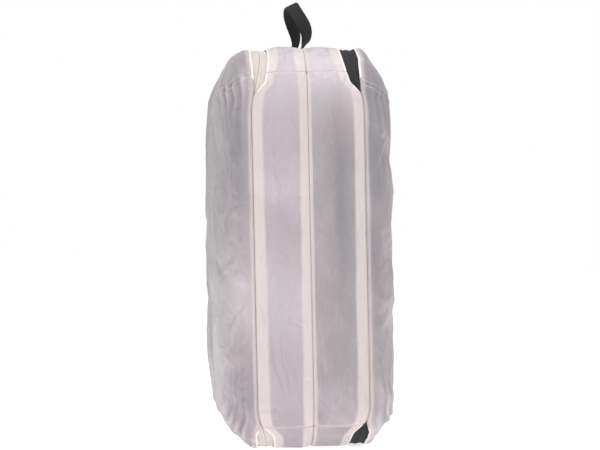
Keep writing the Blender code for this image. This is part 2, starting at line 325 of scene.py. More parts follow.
@dataclass(frozen=True)
class RibbedWebbing:
    """Heavy nylon webbing: rows of plump ribs with a fine twill across them."""

    name: str
    colour: Colour
    light: Colour

    def build(self) -> bpy.types.Material:
        """Make the material."""
        graph = Graph(self.name)
        along = graph.attribute("weave_u")
        across = graph.attribute("weave_v")
        rib = graph.math("ABSOLUTE", graph.math("SINE", across * (math.pi / 1.15)))
        knit = graph.math("SINE", (along + graph.math("PINGPONG", across, 1.15) * 0.9) * (2 * math.pi / 0.85))
        where = graph.place()
        fuzz = graph.noise(where, 1100.0, 2.0, 0.7)
        wear = graph.noise(where, 60.0, 3.0, 0.6)
        shade = graph.rise(rib * 0.55 + knit * 0.25 + (wear - 0.5) * 0.8, -0.1, 1.0)
        colour = graph.mix(shade, self.colour, self.light)
        normal = graph.bump(rib, 0.00022)
        normal = graph.bump(knit, 0.00012, 1.0, normal)
        normal = graph.bump(fuzz, 0.00010, 0.7, normal)
        rough = 0.74 + (fuzz - 0.5) * 0.2
        return graph.finish(Base_Color=colour, Roughness=rough, Normal=normal,
                            Specular_IOR_Level=0.22, Sheen_Weight=0.04, Sheen_Roughness=0.5)


@dataclass(frozen=True)
class Moulded:
    """Moulded nylon or painted metal: a faint grain, with lighter wear in soft random patches."""

    name: str
    colour: Colour
    worn: Colour
    roughness: float
    metallic: float = 0.0
    grain: float = 0.00003

    def build(self) -> bpy.types.Material:
        """Make the material."""
        graph = Graph(self.name)
        where = graph.place()
        grain = graph.noise(where, 1500.0, 2.0, 0.6)
        cloud = graph.noise(where, 160.0, 3.0, 0.6)
        colour = graph.mix(graph.rise(cloud, 0.45, 0.75) * 0.6, self.colour, self.worn)
        rough = self.roughness + (cloud - 0.5) * 0.18
        normal = graph.bump(grain, self.grain)
        return graph.finish(Base_Color=colour, Roughness=rough, Metallic=self.metallic, Normal=normal,
                            Specular_IOR_Level=0.5)


@dataclass(frozen=True)
class TwistedThread:
    """Sewing thread with its twist."""

    name: str
    colour: Colour

    def build(self) -> bpy.types.Material:
        """Make the material."""
        graph = Graph(self.name)
        where = graph.place()
        twist = graph.noise(where, 2600.0, 1.0, 0.5)
        colour = graph.mix(twist, tuple(c * 0.82 for c in self.colour), self.colour)
        return graph.finish(Base_Color=colour, Roughness=0.6 + (twist - 0.5) * 0.2,
                            Normal=graph.bump(twist, 0.00005), Sheen_Weight=0.2)


@dataclass(frozen=True)
class PaperSweep:
    """The matt white sweep that the bag stands on."""

    name: str = "white_sweep"

    def build(self) -> bpy.types.Material:
        """Make the material."""
        graph = Graph(self.name)
        fibre = graph.noise(graph.place(), 60.0, 3.0, 0.6)
        colour = graph.mix(fibre, (0.90, 0.90, 0.90), (0.93, 0.93, 0.93))
        return graph.finish(Base_Color=colour, Roughness=0.9, Specular_IOR_Level=0.1,
                            Emission_Color=(1.0, 1.0, 1.0), Emission_Strength=0.72)


# ---- smooth noise for folds ------------------------------------------------------------------
class Folds:
    """Smooth seeded noise for wrinkles in cloth."""

    def __init__(self, seed: int, lattice: int = 32) -> None:
        """Fill a lattice of random values.

        Args:
            seed: Fixed seed.
            lattice: Points on each side of the lattice, which repeats.
        """
        self.size = lattice
        self.values = np.random.default_rng(seed).uniform(-1, 1, (lattice, lattice, lattice))

    def __call__(self, points: np.ndarray, wavelength: float | Sequence[float]) -> np.ndarray:
        """Noise between -1 and 1.

        Args:
            points: Array that ends in three coordinates.
            wavelength: Size of one bump, in metres, for all axes or for each.

        Returns:
            One value for each point.
        """
        scaled = points / np.asarray(wavelength, float)
        cell = np.floor(scaled).astype(int)
        part = scaled - cell
        part = part * part * (3 - 2 * part)
        total = np.zeros(points.shape[:-1])
        for corner in np.ndindex(2, 2, 2):
            at = (cell + corner) % self.size
            weight = np.prod(np.where(corner, part, 1 - part), axis=-1)
            total += weight * self.values[at[..., 0], at[..., 1], at[..., 2]]
        return total

    def ridges(self, points: np.ndarray, wavelength: float | Sequence[float]) -> np.ndarray:
        """Narrow ridges with flat ground between them, from 0 to 1."""
        return (1 - np.abs(self(points, wavelength))) ** 4


def smooth(value: np.ndarray | float, low: float = 0.0, high: float = 1.0) -> Any:
    """Ease from 0 to 1 as value goes from low to high."""
    part = np.clip((np.asarray(value, float) - low) / (high - low), 0, 1)
    return part * part * (3 - 2 * part)


@dataclass(frozen=True)
class Draping:
    """Cloth settings for a panel that is sewn at its rim and filled from inside."""

    frames: int = 22
    slack: float = 0.030
    pressure: float = 1.6
    stiffness: float = 22.0
    bending: float = 0.35
    cap: float = 6.0 * MM
    mass: float = 0.12
    quality: int = 5

    def settle(self, thing: bpy.types.Object, pinned: np.ndarray) -> None:
        """Simulate the cloth and leave its settled shape in the mesh.

        Args:
            thing: A sheet with no modifiers.
            pinned: How firmly each point is sewn down, from 0 to 1.
        """
        mesh = thing.data
        rest = np.zeros(len(mesh.vertices) * 3)
        mesh.vertices.foreach_get("co", rest)
        rest = rest.reshape(-1, 3)
        group = thing.vertex_groups.new(name="sewn")
        for index, weight in enumerate(pinned.ravel()):
            if weight > 0:
                group.add([index], float(weight), "REPLACE")
        cloth = thing.modifiers.new("cloth", "CLOTH")
        settings = cloth.settings
        settings.quality = self.quality
        settings.mass = self.mass
        settings.tension_stiffness = self.stiffness
        settings.compression_stiffness = self.stiffness
        settings.shear_stiffness = self.stiffness * 0.3
        settings.bending_stiffness = self.bending
        settings.vertex_group_mass = "sewn"
        settings.shrink_min = -self.slack
        settings.use_pressure = True
        settings.uniform_pressure_force = self.pressure
        settings.effector_weights.gravity = 0.0
        cloth.collision_settings.use_self_collision = False
        cloth.collision_settings.use_collision = False
        cloth.point_cache.frame_start = 1
        cloth.point_cache.frame_end = self.frames
        scene = bpy.context.scene
        for frame_number in range(1, self.frames + 1):
            scene.frame_set(frame_number)
        graph = bpy.context.evaluated_depsgraph_get()
        settled = np.zeros(len(rest) * 3)
        thing.evaluated_get(graph).data.vertices.foreach_get("co", settled)
        thing.modifiers.clear()
        thing.vertex_groups.clear()
        scene.frame_set(1)
        moved = settled.reshape(-1, 3) - rest
        far = np.linalg.norm(moved, axis=1, keepdims=True)
        LOG.info("%s settled, moved by up to %.1f mm", thing.name, far.max() / MM)
        moved *= self.cap * np.tanh(far / self.cap) / np.maximum(far, 1e-9)
        final = rest + moved
        final[:, 2] = np.maximum(final[:, 2], STEP_OFF)
        mesh.vertices.foreach_set("co", final.ravel())
        mesh.update()


# ---- the bag's shape -------------------------------------------------------------------------
@dataclass(frozen=True)
class Outline:
    """The side outline: a rounded rectangle, run from the middle of the spine upwards."""

    width: float
    height: float
    corner: float

    @property
    def spine(self) -> float:
        """Length of the straight spine."""
        return self.height - 2 * self.corner

    @property
    def crest(self) -> float:
        """Length of the straight top."""
        return self.width - 2 * self.corner

    @property
    def arc(self) -> float:
        """Length of one corner."""
        return self.corner * math.pi / 2

    @property
    def length(self) -> float:
        """The whole way round."""
        return 2 * (self.spine + self.crest) + 4 * self.arc

    def at(self, distance: np.ndarray, depth: np.ndarray | float = 0.0) -> tuple[np.ndarray, np.ndarray]:
        """Places on the outline.

        Args:
            distance: Distances from the middle of the spine, going up.
            depth: How far inside the outline.

        Returns:
            Points (y, z) and outward normals (y, z).
        """
        left = np.mod(np.asarray(distance, float) + self.spine / 2, self.length)
        depth = np.broadcast_to(np.asarray(depth, float), left.shape)
        point = np.zeros(left.shape + (2,))
        normal = np.zeros(left.shape + (2,))
        start = np.array([-self.width / 2, self.corner])
        heading = math.pi / 2
        used = 0.0
        for run in (self.spine, self.crest, self.spine, self.crest):
            along = np.array([math.cos(heading), math.sin(heading)])
            out = np.array([-along[1], along[0]])
            here = (left >= used) & (left <= used + run)
            point[here] = start + np.outer(left[here] - used, along)
            normal[here] = out
            used += run
            centre = start + along * run - out * self.corner
            here = (left > used) & (left <= used + self.arc)
            turned = heading - (left[here] - used) / self.corner
            normal[here] = np.stack([-np.sin(turned), np.cos(turned)], axis=-1)
            point[here] = centre + normal[here] * self.corner
            used += self.arc
            heading -= math.pi / 2
            start = centre + np.array([-math.sin(heading), math.cos(heading)]) * self.corner
        return point - normal * depth[..., None], normal


@dataclass(frozen=True)
class BagShape:
    """Sizes shared by all the cloth: the outline, the seams and the zips' windows."""

    outline: Outline
    half_thickness: float
    mid: float = 0.050
    top: float = 0.040
    base: float = 0.041
    ease: float = 0.060
    ease_base: float = 0.040
    dome: float = 10.0
    crease: float = 0.95
    cloth: float = 0.0005
    zip_window: float = 0.007
    zip_end_base: float = 0.0215
    zip_end_top: float = 0.0035
    zip_step: float = 0.01178
    zip_hidden: float = 0.014
    lip: float = 0.006
    tape_depth: float = 0.0011
    tape_thick: float = 0.0006
    teeth_depth: float = 0.0022

    @property
    def corner_start(self) -> float:
        """Distance from the middle of the spine to a corner."""
        return self.outline.spine / 2

    @property
    def zip_top(self) -> float:
        """Where the zip's window closes at the top of the spine."""
        return self.corner_start + self.zip_end_top

    @property
    def zip_base(self) -> float:
        """Where the zip's window closes at the foot of the spine, as a negative distance."""
        return -(self.corner_start + self.zip_end_base)

    @property
    def cross_seam(self) -> float:
        """Distance of the seam across the gusset at either end of the spine."""
        return self.corner_start + 2 * self.zip_step

    def seam_half(self, distance: np.ndarray) -> np.ndarray:
        """Half the gusset's width where a panel meets it."""
        z = self.outline.at(distance)[0][..., 1]
        up = smooth(z, self.outline.height - self.ease, self.outline.height)
        down = 1 - smooth(z, 0.0, self.ease_base)
        return self.mid - up * (self.mid - self.top) - down * (self.mid - self.base)

    def window(self, distance: np.ndarray, top_ramp: float, base_ramp: float) -> np.ndarray:
        """Seam line to the cloth's edge: nothing along the spine, half the zip's window elsewhere."""
        around = np.mod(np.asarray(distance, float) + self.outline.length / 2, self.outline.length)
        around = around - self.outline.length / 2
        opened = np.where(around >= 0, (around - self.zip_top) / top_ramp, (self.zip_base - around) / base_ramp)
        return np.clip(opened, 0, 1) * self.zip_window

    def panel_window(self, distance: np.ndarray) -> np.ndarray:
        """The window's edge on the panel's side."""
        return self.window(distance, 3 * self.zip_step, self.zip_step)

    def gusset_window(self, distance: np.ndarray) -> np.ndarray:
        """The window's edge on the gusset's side, cut off at a slant."""
        return self.window(distance, 0.85 * self.zip_step, self.zip_step)

    def outward(self, distance: np.ndarray) -> np.ndarray:
        """Directions out of the band that follows the outline."""
        _, out = self.outline.at(distance)
        return np.concatenate([np.zeros_like(out[..., :1]), out], axis=-1)

    def on_band(self, distance: np.ndarray, x: np.ndarray, depth: np.ndarray | float) -> np.ndarray:
        """Points at X positions on the band that follows the outline."""
        point, _ = self.outline.at(distance, depth)
        return np.stack([np.broadcast_to(x, point.shape[:-1]), point[..., 0], point[..., 1]], axis=-1)


def read_shape() -> BagShape:
    """Take the bag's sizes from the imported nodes."""
    low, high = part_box("dirty_panel")
    return BagShape(Outline(high[1] - low[1], high[2] - low[2], CORNER), float(high[0]))


# ---- meshes ----------------------------------------------------------------------------------
def put(name: str, data: Any) -> bpy.types.Object:
    """Put a mesh, a curve, a light or a camera into the scene."""
    made = bpy.data.objects.new(name, data)
    bpy.context.scene.collection.objects.link(made)
    return made


@dataclass
class Sheet:
    """A grid of points with numbers on them, on its way to becoming a mesh."""

    points: np.ndarray
    outward: np.ndarray
    numbers: dict[str, np.ndarray] = field(default_factory=dict)

    def build(self, name: str, material: bpy.types.Material, closed: bool = False) -> bpy.types.Object:
        """Make an object whose faces point outward.

        Args:
            name: The object's name.
            material: Its finish.
            closed: Whether the last column meets the first.

        Returns:
            The new object.
        """
        rows, columns = self.points.shape[:2]
        index = np.arange(rows * columns).reshape(rows, columns)
        if closed:
            index = np.concatenate([index, index[:, :1]], axis=1)
        quads = np.stack([index[:-1, :-1], index[:-1, 1:], index[1:, 1:], index[1:, :-1]], axis=-1)
        flat = self.points.reshape(-1, 3)
        quads = quads.reshape(-1, 4)
        corner = flat[quads]
        facing = np.cross(corner[:, 2] - corner[:, 0], corner[:, 3] - corner[:, 1])
        outward = self.outward.reshape(-1, 3)[quads[:, 0]]
        if float((facing * outward).sum()) < 0:
            quads = quads[:, ::-1]
        mesh = bpy.data.meshes.new(name)
        mesh.from_pydata(flat.tolist(), [], quads.tolist())
        for key, values in self.numbers.items():
            stored = mesh.attributes.new(key, "FLOAT", "POINT")
            stored.data.foreach_set("value", np.ascontiguousarray(values, np.float32).ravel())
        mesh.shade_smooth()
        mesh.materials.append(material)
        return put(name, mesh)


def add_thickness(thing: bpy.types.Object, thickness: float, offset: float = -1.0) -> None:
    """Give a sheet its thickness, inwards unless offset says otherwise."""
    shell = thing.modifiers.new("thickness", "SOLIDIFY")
    shell.thickness = thickness
    shell.offset = offset
    shell.use_even_offset = False


def add_subdivision(thing: bpy.types.Object, levels: int = 1) -> None:
    """Smooth a mesh."""
    subdivision = thing.modifiers.new("smooth", "SUBSURF")
    subdivision.levels = levels
    subdivision.render_levels = levels


def bake(thing: bpy.types.Object) -> bpy.types.Object:
    """Apply all of an object's modifiers."""
    bpy.context.view_layer.update()
    graph = bpy.context.evaluated_depsgraph_get()
    mesh = bpy.data.meshes.new_from_object(thing.evaluated_get(graph), depsgraph=graph)
    mesh.name = thing.name
    thing.modifiers.clear()
    old = thing.data
    thing.data = mesh
    bpy.data.meshes.remove(old)
    return thing


def from_bmesh(name: str, mesh: bmesh.types.BMesh, material: bpy.types.Material,
               angle: float = 35.0) -> bpy.types.Object:
    """Put a bmesh into a new object."""
    data = bpy.data.meshes.new(name)
    mesh.to_mesh(data)
    mesh.free()
    data.shade_smooth()
    data.set_sharp_from_angle(angle=math.radians(angle))
    data.materials.append(material)
    return put(name, data)


def join(name: str, things: Sequence[bpy.types.Object]) -> bpy.types.Object:
    """Join baked objects into one piece, keeping their materials."""
    with bpy.context.temp_override(active_object=things[0], selected_editable_objects=list(things)):
        bpy.ops.object.join()
    things[0].name = name
    things[0].data.name = name
    return things[0]


def report(thing: bpy.types.Object, body: str, replaced: Sequence[str]) -> None:
    """Hand a finished piece to the frame and log it.

    Args:
        thing: The piece.
        body: The body that it rides on.
        replaced: The CAD nodes that it stands for.
    """
    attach(thing, body)
    if replaced:
        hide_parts(*replaced)
    LOG.info("%s on %s, %d faces", thing.name, body, len(thing.data.polygons))


# ---- rows of stitches and teeth --------------------------------------------------------------
class RowShape(Enum):
    """Small shapes that are repeated along a line."""

    STITCH = "stitch"
    COIL = "coil"


@dataclass
class Line:
    """A line on a surface, with the direction out of the surface at each point."""

    points: np.ndarray
    outward: np.ndarray


def lay_on(lines: Sequence[Line], thing: bpy.types.Object, room: float = 22 * MM) -> list[Line]:
    """Move lines along their outward directions until they lie on a piece.

    Args:
        lines: Lines near the piece.
        thing: The piece, with no modifiers.
        room: How far outside the piece the search starts.

    Returns:
        The lines on its surface, without the points that found none.
    """
    mesh = thing.data
    tree = BVHTree.FromPolygons([v.co for v in mesh.vertices], [p.vertices[:] for p in mesh.polygons])
    laid = []
    for line in lines:
        points, outward = [], []
        for point, out in zip(line.points, line.outward):
            out = Vector(out).normalized()
            place, normal, _, _ = tree.ray_cast(Vector(point) + out * room, -out, room * 2)
            if place is not None:
                points.append(place)
                outward.append(normal if normal.dot(out) > 0 else -normal)
        if len(points) > 2:
            laid.append(Line(np.array(points), np.array(outward)))
    return laid


class RowTree:
    """A Geometry Nodes tree that sets one small shape along lines.

    The tree's named inputs are the shape's spacing, length, width and height, the thickness of its
    wire, its lift off the line, a share of random scale with its seed, and its finish.
    """

    FLOATS = ("Spacing", "Length", "Width", "Height", "Wire", "Lift", "Jitter")

    def __init__(self, shape: RowShape) -> None:
        """Build the tree for one shape."""
        self.tree = bpy.data.node_groups.new(shape.value + "_row", "GeometryNodeTree")
        face = self.tree.interface
        face.new_socket("Line", in_out="INPUT", socket_type="NodeSocketGeometry")
        for name in self.FLOATS:
            face.new_socket(name, in_out="INPUT", socket_type="NodeSocketFloat")
        face.new_socket("Seed", in_out="INPUT", socket_type="NodeSocketInt")
        face.new_socket("Finish", in_out="INPUT", socket_type="NodeSocketMaterial")
        face.new_socket("Row", in_out="OUTPUT", socket_type="NodeSocketGeometry")
        self.given = self.tree.nodes.new("NodeGroupInput").outputs
        profile = self._stitch() if shape is RowShape.STITCH else self._coil()
        self._scatter(profile)

    def _node(self, kind: str, settings: dict[str, Any] | None = None,
              inputs: dict[Any, Any] | None = None) -> bpy.types.Node:
        """Add a node with its settings and the values or links of its inputs."""
        made = self.tree.nodes.new(kind)
        for key, value in (settings or {}).items():
            setattr(made, key, value)
        for key, value in (inputs or {}).items():
            if isinstance(value, bpy.types.NodeSocket):
                self.tree.links.new(value, made.inputs[key])
            else:
                made.inputs[key].default_value = value
        return made

    def _times(self, value: Any, factor: Any) -> bpy.types.NodeSocket:
        """value * factor."""
        return self._node("ShaderNodeMath", {"operation": "MULTIPLY"}, {0: value, 1: factor}).outputs[0]

    def _point(self, x: Any = 0.0, y: Any = 0.0, z: Any = 0.0) -> bpy.types.NodeSocket:
        """A vector from three numbers or sockets."""
        return self._node("ShaderNodeCombineXYZ", None, {0: x, 1: y, 2: z}).outputs[0]

    def _swept(self, path: bpy.types.NodeSocket, sides: int) -> bpy.types.NodeSocket:
        """A wire of the given thickness along a path."""
        circle = self._node("GeometryNodeCurvePrimitiveCircle", None, {
            "Resolution": sides, "Radius": self._times(self.given["Wire"], 0.5)})
        return self._node("GeometryNodeCurveToMesh", None, {
            "Curve": path, "Profile Curve": circle.outputs["Curve"], "Fill Caps": True}).outputs["Mesh"]

    def _stitch(self) -> bpy.types.NodeSocket:
        """A thread that comes out of the cloth and dives back in."""
        half = self._times(self.given["Length"], 0.5)
        bow = self._node("GeometryNodeCurveQuadraticBezier", None, {
            "Resolution": 4,
            "Start": self._point(0.0, self._times(half, -1.0), self._times(self.given["Height"], -0.6)),
            "Middle": self._point(0.0, 0.0, self._times(self.given["Height"], 1.6)),
            "End": self._point(0.0, half, self._times(self.given["Height"], -0.6))})
        return self._swept(bow.outputs["Curve"], 5)

    def _coil(self) -> bpy.types.NodeSocket:
        """One flattened turn of a coil, with its axis along the line and a slight lead."""
        ring = self._node("GeometryNodeCurvePrimitiveCircle", None, {"Resolution": 9, "Radius": 0.5})
        turned = self._node("GeometryNodeTransform", None, {
            "Geometry": ring.outputs["Curve"], "Rotation": (math.pi / 2, 0.0, math.radians(7))})
        sized = self._node("GeometryNodeTransform", None, {
            "Geometry": turned.outputs["Geometry"],
            "Scale": self._point(self.given["Width"], self.given["Length"], self.given["Height"])})
        return self._swept(sized.outputs["Geometry"], 4)

    def _scatter(self, shape: bpy.types.NodeSocket) -> None:
        """Set the shape at even spacing along the lines, standing on the surface."""
        curve = self._node("GeometryNodeMeshToCurve", None, {"Mesh": self.given["Line"]})
        spaced = self._node("GeometryNodeResampleCurve", {"mode": "LENGTH"}, {
            "Curve": curve.outputs["Curve"], "Length": self.given["Spacing"]})
        outward = self._node("GeometryNodeInputNamedAttribute", {"data_type": "FLOAT_VECTOR"}, {
            "Name": "outward"}).outputs["Attribute"]
        tangent = self._node("GeometryNodeInputTangent").outputs["Tangent"]
        stood = self._node("FunctionNodeAlignRotationToVector", {"axis": "Z"}, {"Vector": outward})
        aimed = self._node("FunctionNodeAlignRotationToVector", {"axis": "Y", "pivot_axis": "Z"}, {
            "Rotation": stood.outputs[0], "Vector": tangent})
        low = self._node("ShaderNodeMath", {"operation": "SUBTRACT"}, {0: 1.0, 1: self.given["Jitter"]})
        high = self._node("ShaderNodeMath", {"operation": "ADD"}, {0: 1.0, 1: self.given["Jitter"]})
        varied = self._node("FunctionNodeRandomValue", {"data_type": "FLOAT"}, {
            2: low.outputs[0], 3: high.outputs[0], "Seed": self.given["Seed"]})
        lift = self._node("ShaderNodeVectorMath", {"operation": "SCALE"}, {
            0: outward, "Scale": self.given["Lift"]})
        raised = self._node("GeometryNodeSetPosition", None, {
            "Geometry": spaced.outputs["Curve"], "Offset": lift.outputs[0]})
        placed = self._node("GeometryNodeInstanceOnPoints", None, {
            "Points": raised.outputs["Geometry"], "Instance": shape,
            "Rotation": aimed.outputs[0], "Scale": varied.outputs[1]})
        real = self._node("GeometryNodeRealizeInstances", None, {"Geometry": placed.outputs["Instances"]})
        smoothed = self._node("GeometryNodeSetShadeSmooth", None, {"Geometry": real.outputs["Geometry"]})
        dressed = self._node("GeometryNodeSetMaterial", None, {
            "Geometry": smoothed.outputs["Geometry"], "Material": self.given["Finish"]})
        result = self.tree.nodes.new("NodeGroupOutput")
        self.tree.links.new(dressed.outputs["Geometry"], result.inputs["Row"])

    def make(self, name: str, lines: Sequence[Line], material: bpy.types.Material, seed: int = 3,
             **sizes: float) -> bpy.types.Object:
        """Set the shape along lines and bake the result.

        Args:
            name: The piece's name.
            lines: Lines to follow.
            material: The shapes' finish.
            seed: Seed for the random scale.
            **sizes: Values for the tree's number inputs, in lower case.

        Returns:
            The baked piece.
        """
        mesh = bpy.data.meshes.new(name)
        points = np.concatenate([line.points for line in lines])
        outward = np.concatenate([line.outward for line in lines])
        edges: list[tuple[int, int]] = []
        start = 0
        for line in lines:
            edges += [(start + i, start + i + 1) for i in range(len(line.points) - 1)]
            start += len(line.points)
        mesh.from_pydata(points.tolist(), edges, [])
        stored = mesh.attributes.new("outward", "FLOAT_VECTOR", "POINT")
        stored.data.foreach_set("vector", np.ascontiguousarray(outward, np.float32).ravel())
        made = put(name, mesh)
        modifier = made.modifiers.new("row", "NODES")
        modifier.node_group = self.tree
        values: dict[str, Any] = {key.capitalize(): float(value) for key, value in sizes.items()}
        values.update({"Seed": seed, "Finish": material})
        for item in self.tree.interface.items_tree:
            if item.item_type == "SOCKET" and item.in_out == "INPUT" and item.name in values:
                modifier[item.identifier] = values[item.name]
        return bake(made)


# ---- the cloth body --------------------------------------------------------------------------
def star_grid(shape: BagShape, columns: int, rows: int) -> tuple[np.ndarray, np.ndarray]:
    """A rectangular grid laid over the side outline.

    Args:
        shape: The bag's shape.
        columns: Cells across the width.
        rows: Cells up the height.

    Returns:
        For each grid point its distance along the outline, and how far out it is, from 0 to 1.
    """
    line = shape.outline
    u, v = np.meshgrid(np.linspace(-1, 1, columns + 1), np.linspace(-1, 1, rows + 1), indexing="ij")
    reach = np.maximum(np.abs(u), np.abs(v))
    safe = np.where(reach > 1e-9, reach, 1.0)
    u, v = u / safe, v / safe
    tall = line.spine / 2 + line.arc / 2
    wide = line.crest / 2 + line.arc / 2
    middle = line.spine / 2 + line.arc + line.crest / 2
    distance = np.where(
        np.abs(u) >= 1 - 1e-9,
        np.where(u < 0, v * tall, line.length / 2 - v * tall),
        np.where(v > 0, middle + u * wide, -middle - u * wide),
    )
    return np.mod(distance, line.length), reach


def surface_normals(points: np.ndarray, hint: np.ndarray) -> np.ndarray:
    """Unit normals of a grid of points, on the side that hint points to."""
    along = np.gradient(points, axis=0)
    across = np.gradient(points, axis=1)
    normal = np.cross(along, across)
    normal /= np.maximum(np.linalg.norm(normal, axis=-1, keepdims=True), 1e-12)
    facing = np.sign((normal * hint).sum(axis=-1, keepdims=True))
    return normal * np.where(facing == 0, 1, facing)


@dataclass(frozen=True)
class Glow:
    """A soft patch of painted light in the cloth's colour, where more light comes through the cloth, or of painted
    shade where the value is negative.
    """

    value: float
    height: float
    reach: float
    across: float = 0.0
    width: float = 1.0

    def at(self, lateral: np.ndarray, z: np.ndarray) -> np.ndarray:
        """The patch's share at distances from the middle plane and heights."""
        up = (z - self.height) / self.reach
        aside = (lateral - self.across) / self.width
        return self.value * np.exp(-(up ** 2) - aside ** 2)


# Painted light and shade: soft patches on the gusset pieces and panels of each side.
GUSSET_GLOW = {
    Side.CLEAN: (Glow(0.70, 0.135, 0.050), Glow(0.30, 0.250, 0.045), Glow(0.22, 0.050, 0.030)),
    Side.DIRTY: (Glow(-0.10, 0.205, 0.105), Glow(-0.90, 0.225, 0.085, 0.028, 0.010), Glow(-0.16, 0.070, 0.050),
                 Glow(0.40, 0.345, 0.022)),
}
DARTS = {Side.CLEAN: (0.158, -0.183), Side.DIRTY: (0.149, -0.171)}
PANEL_GLOW = {
    Side.CLEAN: (Glow(0.60, 0.130, 0.038, 0.060, 0.014), Glow(-0.25, 0.055, 0.030, 0.062, 0.012),
                 Glow(-0.75, 0.275, 0.045, 0.064, 0.010), Glow(-0.40, 0.345, 0.030)),
    Side.DIRTY: (Glow(-1.05, 0.285, 0.070, 0.060, 0.022), Glow(-0.75, 0.185, 0.050, 0.055, 0.018),
                 Glow(-0.45, 0.335, 0.035)),
}


def glow(points: np.ndarray, patches: Sequence[Glow], top: float) -> np.ndarray:
    """Painted light in the cloth's colour, above 0, where more light comes through it, or painted shade, below 0,
    where it is shaded from inside.

    Args:
        points: Places on the cloth.
        patches: The soft patches on that piece.
        top: How much painted light brightens the cloth near the top, where the open space under the top lights it
            up.

    Returns:
        One value for each place.
    """
    z = points[..., 2] + 0.012 * Folds(97)(points, (0.05, 0.07, 0.06))
    lateral = np.abs(points[..., 0])
    # Painted light near the top, a soft random wobble, and the painted light and shade patches.
    total = top * smooth(z, 0.262, 0.340) + 0.10 * Folds(98)(points, 0.045)
    return total + sum(patch.at(lateral, z) for patch in patches)


@dataclass
class Panel:
    """One domed side panel with its zip hem, its four corner darts and its folds."""

    shape: BagShape
    side: Side
    darts: tuple[float, float]
    columns: int = 84
    rows: int = 128
    hem_width: float = 1.8 * MM
    fold: float = 2.2 * MM
    crumple: float = 1.3 * MM
    dart_depth: float = 1.3 * MM
    dart_slope: float = 0.38
    gather: float = 2.2 * MM
    pleat: float = 8.6 * MM
    room: float = 4.6 * MM
    round_off: float = 5.0 * MM
    # Strength of the painted light on fold crests and painted shade in fold troughs.
    folded: float = 0.30

    def profile(self, reach: np.ndarray) -> tuple[np.ndarray, np.ndarray, np.ndarray]:
        """Split a share of the way from the middle to the rim into dome and lip.

        Args:
            reach: Shares from 0 in the middle to 1 at the rim.

        Returns:
            The share of the outline, the dome's rise from 0 to 1, and the metres left to the rim.
        """
        shape = self.shape
        ring = np.linspace(0, 1, 4001)
        rise = (1 - ring ** shape.dome) ** (1 / shape.crease)
        across = ring * shape.outline.width / 2
        up = rise * (shape.half_thickness - shape.mid - shape.lip)
        length = np.concatenate([[0], np.cumsum(np.hypot(np.diff(across), np.diff(up)))])
        total = length[-1] + shape.lip
        walked = reach * total
        share = np.interp(np.minimum(walked, length[-1]), length, ring)
        return share, np.interp(share, ring, rise), total - walked

    def rest(self, distance: np.ndarray, reach: np.ndarray) -> tuple[np.ndarray, np.ndarray]:
        """The panel before any folds, with the metres left to its rim."""
        shape = self.shape
        share, rise, left = self.profile(reach)
        rim, _ = shape.outline.at(distance, 0.0)
        centre = np.array([0.0, shape.outline.height / 2])
        spot = centre + (rim - centre) * share[..., None]
        edge = shape.seam_half(distance) + shape.panel_window(distance)
        lip = np.clip(left, 0, shape.lip)
        peak = shape.half_thickness
        x = edge + lip + (peak - edge - shape.lip) * rise
        points = np.stack([self.side.sign * x, spot[..., 0], spot[..., 1]], axis=-1)
        return points, left

    def all_darts(self) -> list[float]:
        """Where the darts meet the rim, on the spine's side and on the far side."""
        half = self.shape.outline.length / 2
        return [here for dart in self.darts for here in (dart, half - dart)]

    def dart_line(self, mark: float, left: np.ndarray) -> tuple[np.ndarray, float, float]:
        """The height of a dart's line, which way is up from the bag's middle, and its place across."""
        y, z = self.shape.outline.at(np.array([mark]))[0][0]
        upward = 1.0 if z > self.shape.outline.height / 2 else -1.0
        return z - upward * self.dart_slope * left, upward, float(y)

    def folds_at(self, points: np.ndarray, left: np.ndarray) -> np.ndarray:
        """How far the slack cloth stands off its rest shape."""
        sign = self.side.sign
        seed = 11 if self.side is Side.CLEAN else 29
        broad, sharp, fine = Folds(seed), Folds(seed + 1), Folds(seed + 2)
        turn = np.array([[1, 0, 0], [0, 0.80, 0.60 * sign], [0, -0.60 * sign, 0.80]])
        slanted = points @ turn.T
        stand = self.fold * broad(points, (0.07, 0.075, 0.11))
        stand += self.fold * 1.6 * (sharp.ridges(slanted, (0.06, 0.034, 0.130)) - 0.25)
        stand += self.crumple * (fine.ridges(points @ turn, (0.03, 0.026, 0.050)) - 0.25)
        return stand * smooth(left, 0.0, 12 * MM)

    def sewn_at(self, points: np.ndarray, distance: np.ndarray,
                left: np.ndarray) -> tuple[np.ndarray, np.ndarray, np.ndarray]:
        """What the sewing does: the metres it lifts the cloth, the metres to the nearest dart, and the pleats."""
        broad = Folds(37)
        stand = np.zeros(left.shape)
        nearest = np.full(left.shape, 1.0)
        pleats = np.zeros(left.shape)
        for mark in self.all_darts():
            level, upward, side = self.dart_line(mark, left)
            apart = (points[..., 2] - level) * upward
            inward = abs(side) - points[..., 1] * np.sign(side)
            reach = (1 - smooth(left, 0.036, 0.046)) * (1 - smooth(inward, 0.034, 0.054))
            stand -= self.dart_depth * np.exp(-((apart / (1.3 * MM)) ** 2)) * reach
            stand += self.dart_depth * 0.8 * np.exp(-(((np.abs(apart) - 4.0 * MM) / (2.6 * MM)) ** 2)) * reach
            nearest = np.minimum(nearest, np.where(reach > 0.3, np.abs(apart), 1.0))
            pleat = np.sin(left / self.pleat * 2 * math.pi + broad(points, 0.03) * 1.5)
            below = np.exp(-np.clip(-apart, 0, 1) / (26 * MM)) * (apart < 0)
            above = np.exp(-np.clip(apart, 0, 1) / (7 * MM)) * (apart >= 0) * 0.35
            pleats += pleat * (below + above) * reach * smooth(left, 0.005, 0.012)
        stand += self.gather * pleats
        hemline = np.sin(distance / (7.5 * MM) * 2 * math.pi + 2 * broad(points, 0.025))
        stand += 0.35 * MM * hemline * smooth(left, 3 * MM, 8 * MM) * (1 - smooth(left, 10 * MM, 26 * MM))
        return stand, nearest, pleats

